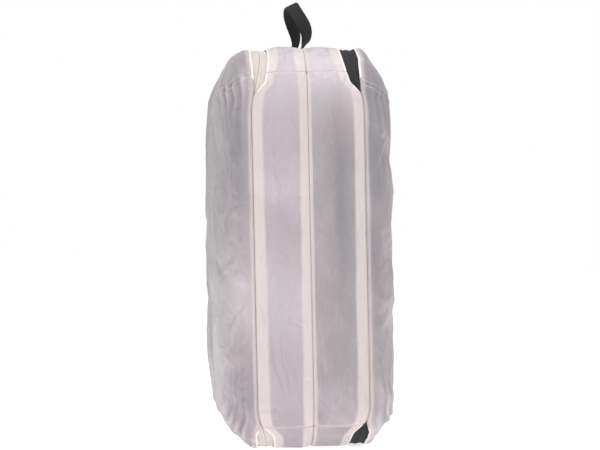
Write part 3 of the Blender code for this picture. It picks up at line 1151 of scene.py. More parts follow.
    def build(self, cloth: bpy.types.Material) -> bpy.types.Object:
        """Make the panel's cloth.

        Args:
            cloth: Its finish.

        Returns:
            The finished piece.
        """
        shape = self.shape
        distance, reach = star_grid(shape, self.columns, self.rows)
        points, left = self.rest(distance, reach)
        hint = np.zeros_like(points)
        hint[..., 0] = self.side.sign
        _, out = shape.outline.at(distance)
        hint[..., 1:] = out * 0.6
        normal = surface_normals(points, hint)
        loose = stand = self.folds_at(points, left)
        sewn, dart, pleats = self.sewn_at(points, distance, left)
        seamed = 1 - smooth(shape.panel_window(distance), 0.0, 2 * MM)
        stand = stand - self.room * smooth(left, 8 * MM, 34 * MM)
        stand = stand - 0.7 * MM * (1 - smooth(left, 0.0, 1.8 * MM)) * seamed
        points = points + normal * stand[..., None]
        points[..., 2] = np.maximum(points[..., 2], STEP_OFF)
        opened = smooth(shape.panel_window(distance), 1.0 * MM, 4.0 * MM)
        hem = np.where(opened > 0.5, self.hem_width - left, -0.009) / MM
        crease = np.minimum(dart, np.where(seamed > 0.5, left, 1.0)) / MM
        sheet = Sheet(points, hint, {
            "weave_u": points[..., 1] / MM, "weave_v": points[..., 2] / MM,
            # Painted light and shade: the side's patches, painted light near the top, light and dark stripes on the
            # pleats by the darts, and lighter fold crests with darker troughs.
            "light": glow(points, PANEL_GLOW[self.side], 0.30) + 1.4 * pleats - 0.35 * np.abs(pleats)
            + self.folded * np.clip(loose / self.fold, -1.5, 1.5),
            "backing": np.clip(np.where(seamed > 0.5, 3.6 * MM - left, 5.0 * MM - left) / MM, -9, 0.2),
            "hem": np.clip(hem, -9, 9),
            "crease": np.clip(crease, 0, 9),
        })
        made = sheet.build(self.side.label + "_panel_cloth", cloth)
        Draping().settle(made, 1 - smooth(left, 6 * MM, 12 * MM))
        settled = np.zeros(points.size)
        made.data.vertices.foreach_get("co", settled)
        settled = settled.reshape(points.shape)
        settled += surface_normals(settled, hint) * sewn[..., None]
        slack = smooth(left, 3 * MM, 18 * MM)
        crown = smooth(settled[..., 2], shape.outline.height - 0.050, shape.outline.height - 0.006)
        settled[..., 2] -= self.round_off * (1.1 if self.side is Side.DIRTY else 0.4) * slack * crown
        settled[..., 2] += self.round_off * (1.4 if self.side is Side.DIRTY else 0.4) * slack * (
            1 - smooth(settled[..., 2], 0.002, 0.040))
        settled[..., 2] = np.maximum(settled[..., 2], STEP_OFF)
        made.data.vertices.foreach_set("co", settled.ravel())
        add_subdivision(made)
        add_thickness(made, shape.cloth)
        return bake(made)

    def seam_lines(self) -> list[Line]:
        """Stitch lines round the hem and up both sides of each dart."""
        shape = self.shape
        lines = []
        length = shape.outline.length
        _, _, span = self.profile(np.array([0.0]))
        for inset, low, high in ((2.1 * MM, shape.zip_top + 0.012, length + shape.zip_base - 0.006),
                                 (2.3 * MM, shape.zip_base, shape.zip_top)):
            here = np.linspace(low, high, int((high - low) / 0.0025))
            points, _ = self.rest(here, np.full(here.shape, 1 - inset / span[0]))
            _, out = shape.outline.at(here)
            lines.append(Line(points, np.stack([out[:, 0] * 0, out[:, 0], out[:, 1]], axis=-1)))
        middle = shape.outline.height / 2
        left = np.linspace(0.004, 0.040, 26)
        share, _, _ = self.profile(1 - left / span[0])
        for mark in self.all_darts():
            around = mark + np.linspace(-0.05, 0.05, 801)
            heights = shape.outline.at(around)[0][:, 1]
            order = np.argsort(heights, kind="stable")
            for offset in (-2.4 * MM, 2.4 * MM):
                level = self.dart_line(mark, left)[0] + offset
                here = np.interp(middle + (level - middle) / share, heights[order], around[order])
                grid = np.stack([here - 0.5 * MM, here, here + 0.5 * MM])
                points, _ = self.rest(grid, np.broadcast_to(1 - left / span[0], grid.shape))
                hint = np.zeros_like(points)
                hint[..., 0] = self.side.sign
                _, out = shape.outline.at(grid)
                hint[..., 1:] = out
                lines.append(Line(points[1], surface_normals(points, hint)[1]))
        return lines


@dataclass
class GussetPiece:
    """One piece of the band round the bag, between the middle seam and a panel."""

    shape: BagShape
    side: Side
    name: str
    start: float
    end: float
    step: float = 2.5 * MM
    across: int = 22
    pillow: float = 1.5 * MM
    hem_width: float = 1.5 * MM
    seam_dip: float = 0.7 * MM
    spine_band: float = 10.0 * MM
    centre_band: float = 10.6 * MM

    def build(self, cloth: bpy.types.Material) -> bpy.types.Object:
        """Make the cloth.

        Args:
            cloth: Its finish.

        Returns:
            The finished piece.
        """
        shape = self.shape
        count = int((self.end - self.start) / self.step) + 1
        here = np.linspace(self.start, self.end, count)
        share = np.linspace(0, 1, self.across + 1)
        share = share + 0.04 * np.sin(2 * math.pi * share) * -1.0
        distance, share = np.meshgrid(here, share, indexing="ij")
        window = shape.gusset_window(distance)
        wide = shape.seam_half(distance) - window
        lateral = 0.05 * MM + share * (wide - 0.1 * MM)
        outer = wide - lateral
        seamed = 1 - smooth(window, 0.0, 2 * MM)
        ends = np.minimum(distance - self.start, self.end - distance)
        z = shape.outline.at(distance)[0][..., 1]
        crest = smooth(z, shape.outline.height - 0.03, shape.outline.height)
        seed = 43 if self.side is Side.CLEAN else 57
        flat = shape.on_band(distance, self.side.sign * lateral, 0.0)
        broad, ridge = Folds(seed), Folds(seed + 1)
        inside = np.minimum(lateral, outer)
        stand = (self.pillow + crest * 0.2 * MM) * np.sin(math.pi * np.clip(lateral / wide, 0, 1)) ** 0.7
        loose = smooth(inside, 1 * MM, 11 * MM) * smooth(ends, 0.0, 8 * MM)
        stand += 1.3 * MM * broad(flat, (0.03, 0.045, 0.075)) * loose
        slant = 0.6 * self.side.sign
        turn = np.array([[0.8, slant, slant], [0, 1, 0], [-slant, 0, 0.8]])
        stand += 1.4 * MM * (ridge.ridges(flat @ turn.T, (0.022, 0.05, 0.085)) - 0.2) * loose
        stand += 0.30 * MM * broad(flat, 0.010) * smooth(inside, 0.0, 3 * MM)
        stand -= self.seam_dip * (1 - smooth(lateral, 0.0, 2.0 * MM)) * (1 - 0.85 * crest)
        stand -= self.seam_dip * (1 - smooth(outer, 0.0, 2.0 * MM)) * seamed
        stand -= 0.12 * self.seam_dip * (1 - smooth(ends, 0.0, 2.2 * MM)) * smooth(inside, 0, 4 * MM)
        stand += self.pucker(flat, distance, lateral)
        banded = self.backing(distance, lateral, outer, ends)
        stand += 0.22 * MM * smooth(banded, -0.4, 0.4)
        points = shape.on_band(distance, self.side.sign * lateral, -stand)
        points[..., 2] = np.maximum(points[..., 2], STEP_OFF)
        hem = np.where(seamed < 0.5, self.hem_width - outer, -0.009) / MM
        crease = np.minimum(lateral + 2 * MM * crest, np.where(seamed > 0.5, outer, 1.0)) / MM
        hint = shape.outward(distance)
        # The light attribute carries painted light and shade: the side's patches and strong painted light near the
        # crest.
        sheet = Sheet(points, hint, {
            "weave_u": distance / MM, "weave_v": lateral / MM, "light": glow(flat, GUSSET_GLOW[self.side], 0.8),
            "backing": banded, "hem": np.clip(hem, -9, 9), "crease": np.clip(crease, 0, 9),
        })
        made = sheet.build(self.name, cloth)
        add_subdivision(made)
        add_thickness(made, shape.cloth)
        return bake(made)

    def backing(self, distance: np.ndarray, lateral: np.ndarray, outer: np.ndarray,
                ends: np.ndarray) -> np.ndarray:
        """Millimetres inside the area that has a tape behind it, negative outside it."""
        shape = self.shape
        wander = 0.9 * MM * Folds(61)(np.stack([distance, distance * 0, lateral * 0], axis=-1), 0.045)
        opened = smooth(shape.gusset_window(distance), 0.0, 2 * MM)
        spine = self.spine_band - 1.5 * MM * opened + wander - outer
        if self.side is Side.CLEAN:
            centre = self.centre_band - 2.0 * MM + wander - lateral
        else:
            centre = 2.6 * MM - lateral
        end = 0.6 * MM - ends
        return np.clip(np.maximum(np.maximum(spine, centre), end) / MM, -9, 9)

    def pucker(self, flat: np.ndarray, distance: np.ndarray, lateral: np.ndarray) -> np.ndarray:
        """Small pleats that fan out from the two ends of the carrying handle."""
        low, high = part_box("grab_loop")
        total = np.zeros(distance.shape)
        for y in (low[1], high[1]):
            along = flat[..., 1] - y
            apart = np.hypot(along, lateral)
            near = np.exp(-((apart / (14 * MM)) ** 2)) * (flat[..., 2] > 0.3)
            fan = np.arctan2(lateral, along)
            total += near * (1.1 * MM + 0.7 * MM * np.cos(fan * 7) * smooth(apart, 1 * MM, 6 * MM))
        return total

    def seam_lines(self) -> list[Line]:
        """Stitch lines beside the middle seam, beside the panel's seam or zip, and across each end."""
        shape = self.shape
        count = int((self.end - self.start) / self.step) + 1
        here = np.linspace(self.start + 3 * MM, self.end - 3 * MM, count)
        outward = shape.outward(here)
        edge = shape.seam_half(here) - shape.gusset_window(here)
        lines = []
        for lateral, lift in ((np.full(here.shape, 2.6 * MM), 0.45 * MM), (edge - 2.0 * MM, 0.35 * MM)):
            lines.append(Line(shape.on_band(here, self.side.sign * lateral, -lift), outward))
        for end in (self.start + 3.0 * MM, self.end - 3.0 * MM):
            if self.side is Side.DIRTY or shape.outline.at(np.array([end]))[0][0, 1] < 0.1:
                continue
            wide = float(shape.seam_half(np.array([end]))[0] - shape.gusset_window(np.array([end]))[0])
            lateral = np.linspace(4 * MM, wide - 4 * MM, 24)
            across = np.full(lateral.shape, end)
            rise = self.pillow * np.sin(math.pi * lateral / wide) ** 0.7
            lines.append(Line(shape.on_band(across, self.side.sign * lateral, -rise - 0.1 * MM),
                              shape.outward(across)))
        return lines


# ---- inside the bag --------------------------------------------------------------------------
@dataclass
class Inside:
    """The divider between the compartments and the tapes that bind the seams."""

    shape: BagShape
    divider_depth: float = 1.1 * MM
    tape_thick: float = 0.55 * MM
    sway: float = 0.9 * MM

    def divider(self, cloth: bpy.types.Material) -> bpy.types.Object:
        """The stretched sheet in the middle."""
        shape = self.shape
        distance, reach = star_grid(shape, 60, 92)
        rim, _ = shape.outline.at(distance, self.divider_depth)
        centre = np.array([0.0, shape.outline.height / 2])
        spot = centre + (rim - centre) * reach[..., None]
        flat = np.concatenate([np.zeros_like(spot[..., :1]), spot], axis=-1)
        flat[..., 0] = self.sway * Folds(71)(flat, 0.055) * smooth(1 - reach, 0.0, 0.25)
        hint = np.zeros_like(flat)
        hint[..., 0] = 1
        blank = np.full(distance.shape, -9.0)
        sheet = Sheet(flat, hint, {"weave_u": flat[..., 1] / MM, "weave_v": flat[..., 2] / MM,
                                   "light": blank * 0, "backing": blank, "hem": blank, "crease": -blank})
        made = sheet.build("divider_sheet", cloth)
        add_subdivision(made)
        add_thickness(made, 0.5 * MM, 0.0)
        return bake(made)

    def tape(self, name: str, start: float, end: float, near: Callable[[np.ndarray], np.ndarray],
             width: float, tape: bpy.types.Material) -> bpy.types.Object:
        """A binding tape that lies against the inside of the band.

        Args:
            name: The piece's name.
            start: Where it starts along the outline.
            end: Where it ends.
            near: Gives the signed X of its first edge for distances along the outline.
            width: Signed width across.
            tape: Its finish.

        Returns:
            The finished piece.
        """
        count = int((end - start) / (3 * MM)) + 1
        distance, share = np.meshgrid(np.linspace(start, end, count), np.linspace(0, 1, 7), indexing="ij")
        x = near(distance) + share * width
        edge = np.minimum(share, 1 - share) * abs(width)
        depth = self.shape.tape_depth + self.tape_thick * 0.5 + 0.15 * MM * (1 - smooth(edge, 0, 1.2 * MM))
        points = self.shape.on_band(distance, x, depth)
        hint = self.shape.outward(distance)
        made = Sheet(points, hint, {"weave_u": distance / MM, "weave_v": share * abs(width) / MM}).build(name, tape)
        add_thickness(made, self.tape_thick, 0.0)
        return bake(made)

    def bindings(self, tape: bpy.types.Material) -> list[tuple[bpy.types.Object, str]]:
        """The three binding tapes, each with the node that it stands for."""
        shape = self.shape
        centre_low, centre_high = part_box("centre_binding")
        wide = centre_high[0] - centre_low[0]
        made = [(self.tape("middle_seam_binding", 0.0, shape.outline.length,
                           lambda here: np.full(here.shape, float(centre_high[0])), -wide, tape),
                 "centre_binding")]
        low = shape.zip_base + shape.zip_hidden + 0.6 * MM
        high = shape.zip_top - shape.zip_hidden - 0.6 * MM
        for side in Side:
            made.append((self.tape(side.label + "_spine_seam_binding", low, high,
                                   lambda here, s=side.sign: s * (shape.seam_half(here) - 0.3 * MM),
                                   -side.sign * 10 * MM, tape),
                         side.label + "_spine_binding"))
        return made


# ---- zips ------------------------------------------------------------------------------------
@dataclass
class Zip:
    """One compartment's zip: two woven tapes, two rows of coil and two sliders with pulls."""

    shape: BagShape
    side: Side
    coil_row: RowTree
    lap: float = 5.0 * MM
    line_gap: float = 0.22 * MM
    pitch: float = 1.25 * MM

    def span(self) -> tuple[float, float]:
        """Where the tapes start and end along the outline."""
        shape = self.shape
        return shape.zip_top - shape.zip_hidden, shape.outline.length + shape.zip_base + shape.zip_hidden

    def tape(self, half: Half, finish: bpy.types.Material) -> bpy.types.Object:
        """One woven tape, with its rounded edge raised beside the teeth."""
        shape = self.shape
        start, end = self.span()
        count = int((end - start) / (2.6 * MM)) + 1
        share = np.array([0.0, 0.03, 0.07, 0.12, 0.18, 0.26, 0.36, 0.48, 0.62, 0.76, 0.9, 1.0])
        distance, share = np.meshgrid(np.linspace(start, end, count), share, indexing="ij")
        open_width = shape.panel_window(distance) if half is Half.PANEL else shape.gusset_window(distance)
        wide = open_width + self.lap - self.line_gap
        away = share * wide
        direction = half.value[1]
        x = self.side.sign * (shape.seam_half(distance) + direction * (self.line_gap + away))
        raised = 0.42 * MM * np.exp(-((away - 0.6 * MM) / (0.9 * MM)) ** 2)
        sag = 0.30 * MM * np.sin(math.pi * np.clip(away / np.maximum(open_width, 1 * MM), 0, 1)) ** 2
        ripple = 0.10 * MM * Folds(83)(shape.on_band(distance, x, 0.0), 0.012)
        visible = smooth(open_width, 1.0 * MM, 5.0 * MM)
        depth = shape.tape_depth + shape.tape_thick / 2 - (raised - sag + ripple) * visible
        depth = np.maximum(depth, 0.35 * MM + 0.55 * MM * (1 - visible))
        points = shape.on_band(distance, x, depth)
        hint = shape.outward(distance)
        name = f"{self.side.label}_{half.value[0]}_zip_tape_woven"
        made = Sheet(points, hint, {"weave_u": distance / MM, "weave_v": away / MM}).build(name, finish)
        add_subdivision(made)
        add_thickness(made, shape.tape_thick, 0.0)
        return bake(made)

    def coil(self, half: Half, finish: bpy.types.Material) -> bpy.types.Object:
        """One row of coil behind its tape."""
        shape = self.shape
        start, end = self.span()
        shift = 0.0 if half is Half.PANEL else self.pitch / 2
        here = np.linspace(start + 1 * MM + shift, end - 2 * MM + shift, 560)
        width = 2.5 * MM
        x = self.side.sign * (shape.seam_half(here) + half.value[1] * (0.65 * MM + width / 2))
        points = shape.on_band(here, x, shape.teeth_depth + 1.0 * MM)
        outward = shape.outward(here)
        return self.coil_row.make(
            f"{self.side.label}_{half.value[0]}_zip_coil", [Line(points, outward)], finish,
            spacing=self.pitch, length=0.4 * MM, width=width - 0.45 * MM, height=1.5 * MM,
            wire=0.5 * MM, jitter=0.0)


def ellipse(wide: float, tall: float, count: int, middle: float = 0.0) -> list[tuple[float, float]]:
    """Points round an ellipse with its middle on the Y axis."""
    return [(wide * math.cos(2 * math.pi * t / count), middle + tall * math.sin(2 * math.pi * t / count))
            for t in range(count)]


@dataclass
class SliderSet:
    """One slider with the pull that turns in its bridge."""

    side: Side
    end: End
    plate: float = 1.4 * MM
    bridge_wall: float = 1.0 * MM
    slot: float = 2.0 * MM
    bridge_wide: float = 2.4 * MM
    bevel: float = 0.3 * MM

    @property
    def stem(self) -> str:
        """Start of the node names."""
        return f"{self.side.label}_{self.end.value[0]}"

    def slab(self, rings: Sequence[Sequence[tuple[float, float]]], centre: Sequence[float],
             thickness: float, bevel: float) -> bpy.types.Object:
        """A flat shape with rounded edges.

        Args:
            rings: Closed outlines in X and Y, the outer one first and then its holes.
            centre: The shape's middle.
            thickness: Its thickness along Z.
            bevel: Radius of its edges.

        Returns:
            A mesh object.
        """
        curve = bpy.data.curves.new("slab", "CURVE")
        curve.dimensions = "2D"
        curve.fill_mode = "BOTH"
        curve.extrude = thickness / 2 - bevel
        curve.bevel_depth = bevel
        curve.bevel_resolution = 2
        curve.offset = -bevel
        for ring in rings:
            spline = curve.splines.new("POLY")
            spline.points.add(len(ring) - 1)
            for point, (x, y) in zip(spline.points, ring):
                point.co = (x, y, 0.0, 1.0)
            spline.use_cyclic_u = True
        thing = put("slab", curve)
        bpy.context.view_layer.update()
        graph = bpy.context.evaluated_depsgraph_get()
        mesh = bpy.data.meshes.new_from_object(thing.evaluated_get(graph), depsgraph=graph)
        bpy.data.objects.remove(thing)
        mesh.transform(Matrix.Translation(Vector(centre)))
        return put("slab", mesh)

    def bridge(self, x: float, y: float, low: float, high: float, half: float) -> bpy.types.Object:
        """The arch on top of the slider, with rounded shoulders."""
        mesh = bmesh.new()
        steps = 10
        rings = []
        for outer in (True, False):
            inset = 0.0 if outer else self.bridge_wall
            radius = 1.5 * MM if outer else 0.7 * MM
            top = high - (0.0 if outer else self.bridge_wall)
            wide = half - inset
            ring = [(-wide, low)]
            ring += [(-wide + radius * (1 - math.cos(t * math.pi / 2 / steps)),
                      top - radius * (1 - math.sin(t * math.pi / 2 / steps))) for t in range(steps + 1)]
            ring += [(-a, z) for a, z in reversed(ring)]
            rings.append(ring)
        walls = []
        for offset in (-self.bridge_wide / 2, self.bridge_wide / 2):
            walls.append([[mesh.verts.new((x + offset, y + a, z)) for a, z in ring] for ring in rings])
        for i in range(len(rings[0]) - 1):
            for wall in walls:
                mesh.faces.new((wall[0][i], wall[0][i + 1], wall[1][i + 1], wall[1][i]))
            for ring in (0, 1):
                mesh.faces.new((walls[0][ring][i], walls[1][ring][i], walls[1][ring][i + 1], walls[0][ring][i + 1]))
        for i in (0, -1):
            mesh.faces.new((walls[0][0][i], walls[1][0][i], walls[1][1][i], walls[0][1][i]))
        bmesh.ops.recalc_face_normals(mesh, faces=mesh.faces)
        edges = [edge for edge in mesh.edges if edge.calc_face_angle(0) > 0.9]
        bmesh.ops.bevel(mesh, geom=edges, offset=0.2 * MM, segments=2, profile=0.5, affect="EDGES")
        data = bpy.data.meshes.new("bridge")
        mesh.to_mesh(data)
        mesh.free()
        return put("bridge", data)

    def body(self, metal: bpy.types.Material) -> bpy.types.Object:
        """The slider's two shield-shaped plates, its post and its bridge."""
        low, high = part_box(self.stem + "_slider")
        x, y = (low[0] + high[0]) / 2, (low[1] + high[1]) / 2
        wide, half = (high[0] - low[0]) / 2, (high[1] - low[1]) / 2
        upper = high[2] - self.bridge_wall - self.slot
        away = self.end.value[1]
        shield = []
        for t in range(40):
            turn = 2 * math.pi * t / 40
            across, along = math.cos(turn), math.sin(turn)
            square = (abs(across) ** 4 + abs(along) ** 4) ** -0.25
            taper = 1.0 - 0.20 * max(0.0, along * away * square)
            shield.append((across * square * wide * taper, along * square * half))
        plates = [
            self.slab([shield], (x, y, upper - self.plate / 2), self.plate, self.bevel),
            self.slab([shield], (x, y, low[2] + self.plate / 2), self.plate, self.bevel),
        ]
        post = ellipse(0.3 * MM, 1.0 * MM, 12)
        tall = upper - low[2] - 0.6 * MM
        middle = self.slab([post], (x, y, (upper + low[2]) / 2), tall, 0.05 * MM)
        arch = self.bridge(x, y, upper - 0.4 * MM, high[2], 3.8 * MM)
        return self.finish(self.stem + "_slider_body", [*plates, middle, arch], metal)

    def finish(self, name: str, parts: Sequence[bpy.types.Object], metal: bpy.types.Material) -> bpy.types.Object:
        """Join the parts of one casting and give it its finish."""
        made = join(name, parts)
        made.data.materials.clear()
        made.data.materials.append(metal)
        made.data.polygons.foreach_set("material_index", [0] * len(made.data.polygons))
        made.data.shade_smooth()
        made.data.set_sharp_from_angle(angle=math.radians(40))
        return made

    def pull(self, metal: bpy.types.Material) -> bpy.types.Object:
        """The pull: a waisted tab with a square eye for the bridge, a hole and three grip ridges."""
        low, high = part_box(self.stem + "_pull")
        slider_low, slider_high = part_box(self.stem + "_slider")
        x = (low[0] + high[0]) / 2
        y = (slider_low[1] + slider_high[1]) / 2
        z = (low[2] + high[2]) / 2
        away = self.end.value[1]
        thick = high[2] - low[2]
        wide = (high[0] - low[0]) / 2
        length = max(abs(high[1] - y), abs(low[1] - y))
        bar = thick / 2
        eye_x = self.bridge_wide / 2 + 0.4 * MM
        eye_end = math.hypot(3.8 * MM, bar + 0.4 * MM + self.bridge_wall) + 0.4 * MM
        side = [(-wide, -bar), (-wide, eye_end + 0.6 * MM), (-wide * 0.80, eye_end + 3.0 * MM),
                (-wide * 0.80, length - wide - 3.0 * MM), (-wide, length - wide)]
        tip = [(-wide * math.cos(t * math.pi / 14), length - wide + wide * math.sin(t * math.pi / 14))
               for t in range(1, 14)]
        rim = side + tip + [(-a, b) for a, b in reversed(side)]
        eye = [(-eye_x, bar), (eye_x, bar), (eye_x, eye_end), (-eye_x, eye_end)]
        hole_at = length - wide - 0.2 * MM
        hole = ellipse(1.2 * MM, 1.2 * MM, 20, hole_at)
        rings = [[(a, b * away) for a, b in ring] for ring in (rim, eye, hole)]
        parts = [self.slab(rings, (x, y, z), thick, 0.25 * MM)]
        for i in range(3):
            at = eye_end + (3.6 + i * 1.7) * MM
            ridge = ellipse(1.5 * MM, 0.42 * MM, 16, at)
            parts.append(self.slab([[(a, b * away) for a, b in ridge]], (x, y, z), thick + 0.3 * MM, 0.12 * MM))
        return self.finish(self.stem + "_pull_tab", parts, metal)


# ---- carrying handle -------------------------------------------------------------------------
@dataclass
class Handle:
    """The webbing handle, sewn edgeways into the middle seam at both ends."""

    width: float = 12.0 * MM
    thickness: float = 1.8 * MM
    span: float = 100.0 * MM
    lean: float = -1.5 * MM
    bow: float = 8.0 * MM
    tilt: float = 0.44
    end_twist: float = 0.55
    lift: float = 1.2 * MM
    rise: float = 45.5 * MM
    sewn: float = 2.6 * MM
    steps: int = 120

    def path(self, base: float) -> tuple[np.ndarray, np.ndarray, np.ndarray]:
        """The handle's middle line, its direction across and its distance along.

        Args:
            base: Height of the top of the bag.

        Returns:
            Points, unit vectors across the webbing, and metres along it.
        """
        turn = np.linspace(0, math.pi, self.steps + 1)
        up = np.sin(turn)
        x = self.lean * up + 6.75 * self.bow * up * (1 - up) ** 2
        z = base + self.lift + (self.rise - self.lift) * up
        z = z - self.sewn * (1 - smooth(up, 0.0, 0.14))
        y = -self.span / 2 * np.cos(turn)
        points = np.stack([x, y, z], axis=-1)
        inward = np.stack([0 * y, -np.cos(turn) * self.span / 2, up * self.rise], axis=-1)
        inward /= np.linalg.norm(inward, axis=-1, keepdims=True)
        start = self.end_twist * smooth(up, 0.05, 0.20)
        twist = start + (math.pi / 2 - start) * smooth(up / 0.9)
        flat = np.stack([np.cos(self.tilt * up), 0 * up, np.sin(self.tilt * up)], axis=-1)
        across = flat * np.sin(twist)[:, None] + inward * np.cos(twist)[:, None]
        along = np.concatenate([[0], np.cumsum(np.linalg.norm(np.diff(points, axis=0), axis=1))])
        return points, across, along

    def build(self, base: float, webbing: bpy.types.Material) -> bpy.types.Object:
        """Make the webbing with rounded edges and closed ends.

        Args:
            base: Height of the top of the bag.
            webbing: Its finish.

        Returns:
            The finished piece.
        """
        points, across, along = self.path(base)
        tangent = np.gradient(points, axis=0)
        tangent /= np.linalg.norm(tangent, axis=-1, keepdims=True)
        across = across - tangent * (across * tangent).sum(-1, keepdims=True)
        across /= np.linalg.norm(across, axis=-1, keepdims=True)
        face = np.cross(tangent, across)
        turn = np.linspace(0, 2 * math.pi, 37)[:-1]
        wide = np.sign(np.cos(turn)) * np.abs(np.cos(turn)) ** 0.35
        thick = np.sign(np.sin(turn)) * np.abs(np.sin(turn)) ** 0.6
        wide, thick = wide * self.width / 2, thick * self.thickness / 2
        wave = 0.35 * MM * np.sin(along / (21 * MM)) * np.sin(math.pi * along / along[-1])
        ring = points[:, None] + across[:, None] * wide[None, :, None] + face[:, None] * (
            thick[None, :, None] + wave[:, None, None])
        caps = [np.repeat(points[i][None, None], len(turn), axis=1) for i in (0, -1)]
        rows = np.concatenate([caps[0], ring, caps[1]], axis=0)
        outward = ring - points[:, None]
        outward = np.concatenate([outward[:1], outward, outward[-1:]], axis=0)
        far = np.concatenate([along[:1], along, along[-1:]])
        numbers = {
            "weave_u": np.broadcast_to(far[:, None] / MM, rows.shape[:2]),
            "weave_v": np.broadcast_to((wide[None] + self.width) / MM, rows.shape[:2]),
        }
        made = Sheet(rows, outward, numbers).build("carry_handle", webbing, closed=True)
        mesh = bmesh.new()
        mesh.from_mesh(made.data)
        bmesh.ops.remove_doubles(mesh, verts=mesh.verts, dist=1e-6)
        bmesh.ops.recalc_face_normals(mesh, faces=mesh.faces)
        mesh.to_mesh(made.data)
        mesh.free()
        return made

    def bartacks(self, shape: BagShape) -> list[Line]:
        """Close rows of stitches across the seam where the webbing is sewn in."""
        lines = []
        line = shape.outline
        for end in (-1, 1):
            for offset in (-7.0, -6.2, -5.4, 5.4, 6.2, 7.0):
                y = end * (self.span / 2 + offset * MM)
                here = line.spine / 2 + line.arc + (y + line.crest / 2)
                x = np.linspace(-2.6 * MM, 2.6 * MM, 9)
                lift = 1.5 * MM + 0.0 * x
                distance = np.full(x.shape, here)
                lines.append(Line(shape.on_band(distance, x, -lift), shape.outward(distance)))
        return lines


# ---- studio ----------------------------------------------------------------------------------
@dataclass
class Studio:
    """The pale floor, the soft lights and the camera."""

    azimuth: float = -6.0
    elevation: float = 1.2
    roll: float = -1.2
    distance: float = 1.993
    lens: float = 127.0
    target: tuple[float, float, float] = (0.0028, 0.0, 0.1996)

    def camera(self) -> bpy.types.Object:
        """Make the camera, which looks at the bag's narrow side."""
        data = bpy.data.cameras.new("camera")
        data.lens = self.lens
        data.sensor_width = 36.0
        data.clip_start = 0.05
        data.clip_end = 50.0
        made = put("camera", data)
        a, e = math.radians(self.azimuth), math.radians(self.elevation)
        back = Vector((math.sin(a) * math.cos(e), -math.cos(a) * math.cos(e), math.sin(e)))
        made.rotation_mode = "QUATERNION"
        made.location = Vector(self.target) + back * self.distance
        aim = (-back).to_track_quat("-Z", "Y")
        made.rotation_quaternion = aim @ Matrix.Rotation(math.radians(self.roll), 3, "Z").to_quaternion()
        bpy.context.scene.camera = made
        return made

    def lamp(self, name: str, place: Sequence[float], aim: Sequence[float], size: Sequence[float],
             power: float, colour: Colour = (1.0, 1.0, 1.0)) -> None:
        """Add a soft rectangular light."""
        data = bpy.data.lights.new(name, "AREA")
        data.shape = "RECTANGLE"
        data.size, data.size_y = size
        data.energy = power
        data.color = colour
        made = put(name, data)
        made.location = Vector(place)
        made.rotation_mode = "QUATERNION"
        made.rotation_quaternion = (Vector(aim) - Vector(place)).to_track_quat("-Z", "Y")

    def world(self, seen: float = 1.0, cast: float = 0.38) -> None:
        """A white surround that lights the bag less than it shows."""
        world = bpy.data.worlds.new("surround")
        world.use_nodes = True
        bpy.context.scene.world = world
        nodes, links = world.node_tree.nodes, world.node_tree.links
        base = nodes["Background"]
        base.inputs["Color"].default_value = (1.0, 1.0, 1.0, 1.0)
        path = nodes.new("ShaderNodeLightPath")
        level = nodes.new("ShaderNodeMapRange")
        level.inputs["To Min"].default_value = cast
        level.inputs["To Max"].default_value = seen
        links.new(path.outputs["Is Camera Ray"], level.inputs["Value"])
        links.new(level.outputs[0], base.inputs["Strength"])

    def floor(self) -> bpy.types.Object:
        """A wide matt floor just under the bag."""
        mesh = bmesh.new()
        bmesh.ops.create_grid(mesh, x_segments=8, y_segments=8, size=3.0)
        for vertex in mesh.verts:
            vertex.co.z = -0.1 * MM
        made = from_bmesh("floor", mesh, PaperSweep().build())
        return made

    def build(self) -> None:
        """Set up everything round the bag."""
        bpy.context.scene.view_settings.view_transform = "Standard"
        bpy.context.scene.view_settings.look = "None"
        self.world()
        self.lamp("overhead_softbox", (0.10, -0.25, 1.35), (0.0, 0.0, 0.25), (1.1, 1.1), 13.0)
        self.lamp("left_softbox", (-1.3, -1.1, 0.9), (0.0, 0.0, 0.2), (0.9, 1.2), 11.0)
        self.lamp("right_softbox", (1.5, -0.7, 0.7), (0.0, 0.0, 0.2), (0.7, 1.1), 4.5)
        self.lamp("front_fill", (0.15, -2.6, 0.35), (0.0, 0.0, 0.18), (1.2, 0.8), 4.0)
        self.floor()
        self.camera()


# ---- the whole bag ---------------------------------------------------------------------------
class Finishes:
    """All the materials, made once."""

    def __init__(self) -> None:
        """Build every material."""
        self.cloth = CoatedCloth("coated_nylon").build()
        self.lining = CoatedCloth("divider_nylon", alpha=0.86, mauve=(0.50, 0.46, 0.47)).build()
        self.binding = WovenTape("binding_weave", (0.60, 0.53, 0.49), (0.76, 0.70, 0.66), rib=0.7).build()
        self.tape = {
            Side.CLEAN: WovenTape("cream_zip_weave", (0.60, 0.53, 0.485), (0.76, 0.69, 0.645)).build(),
            Side.DIRTY: WovenTape("black_zip_weave", (0.008, 0.008, 0.010), (0.034, 0.032, 0.037),
                                  sheen=0.05).build(),
        }
        self.coil = {
            Side.CLEAN: Moulded("cream_coil", (0.78, 0.72, 0.66), (0.86, 0.82, 0.78), 0.42).build(),
            Side.DIRTY: Moulded("black_coil", (0.015, 0.014, 0.016), (0.05, 0.048, 0.052), 0.38).build(),
        }
        self.slider = {
            Side.CLEAN: Moulded("cream_slider_enamel", (0.72, 0.67, 0.61), (0.80, 0.77, 0.73), 0.32).build(),
            Side.DIRTY: Moulded("black_slider_enamel", (0.018, 0.017, 0.019), (0.07, 0.07, 0.075), 0.30).build(),
        }
        self.webbing = RibbedWebbing("ribbed_webbing", (0.006, 0.005, 0.006), (0.026, 0.022, 0.025)).build()
        self.thread = TwistedThread("pale_thread", (0.70, 0.64, 0.65)).build()
        self.black_thread = TwistedThread("black_thread", (0.03, 0.028, 0.03)).build()


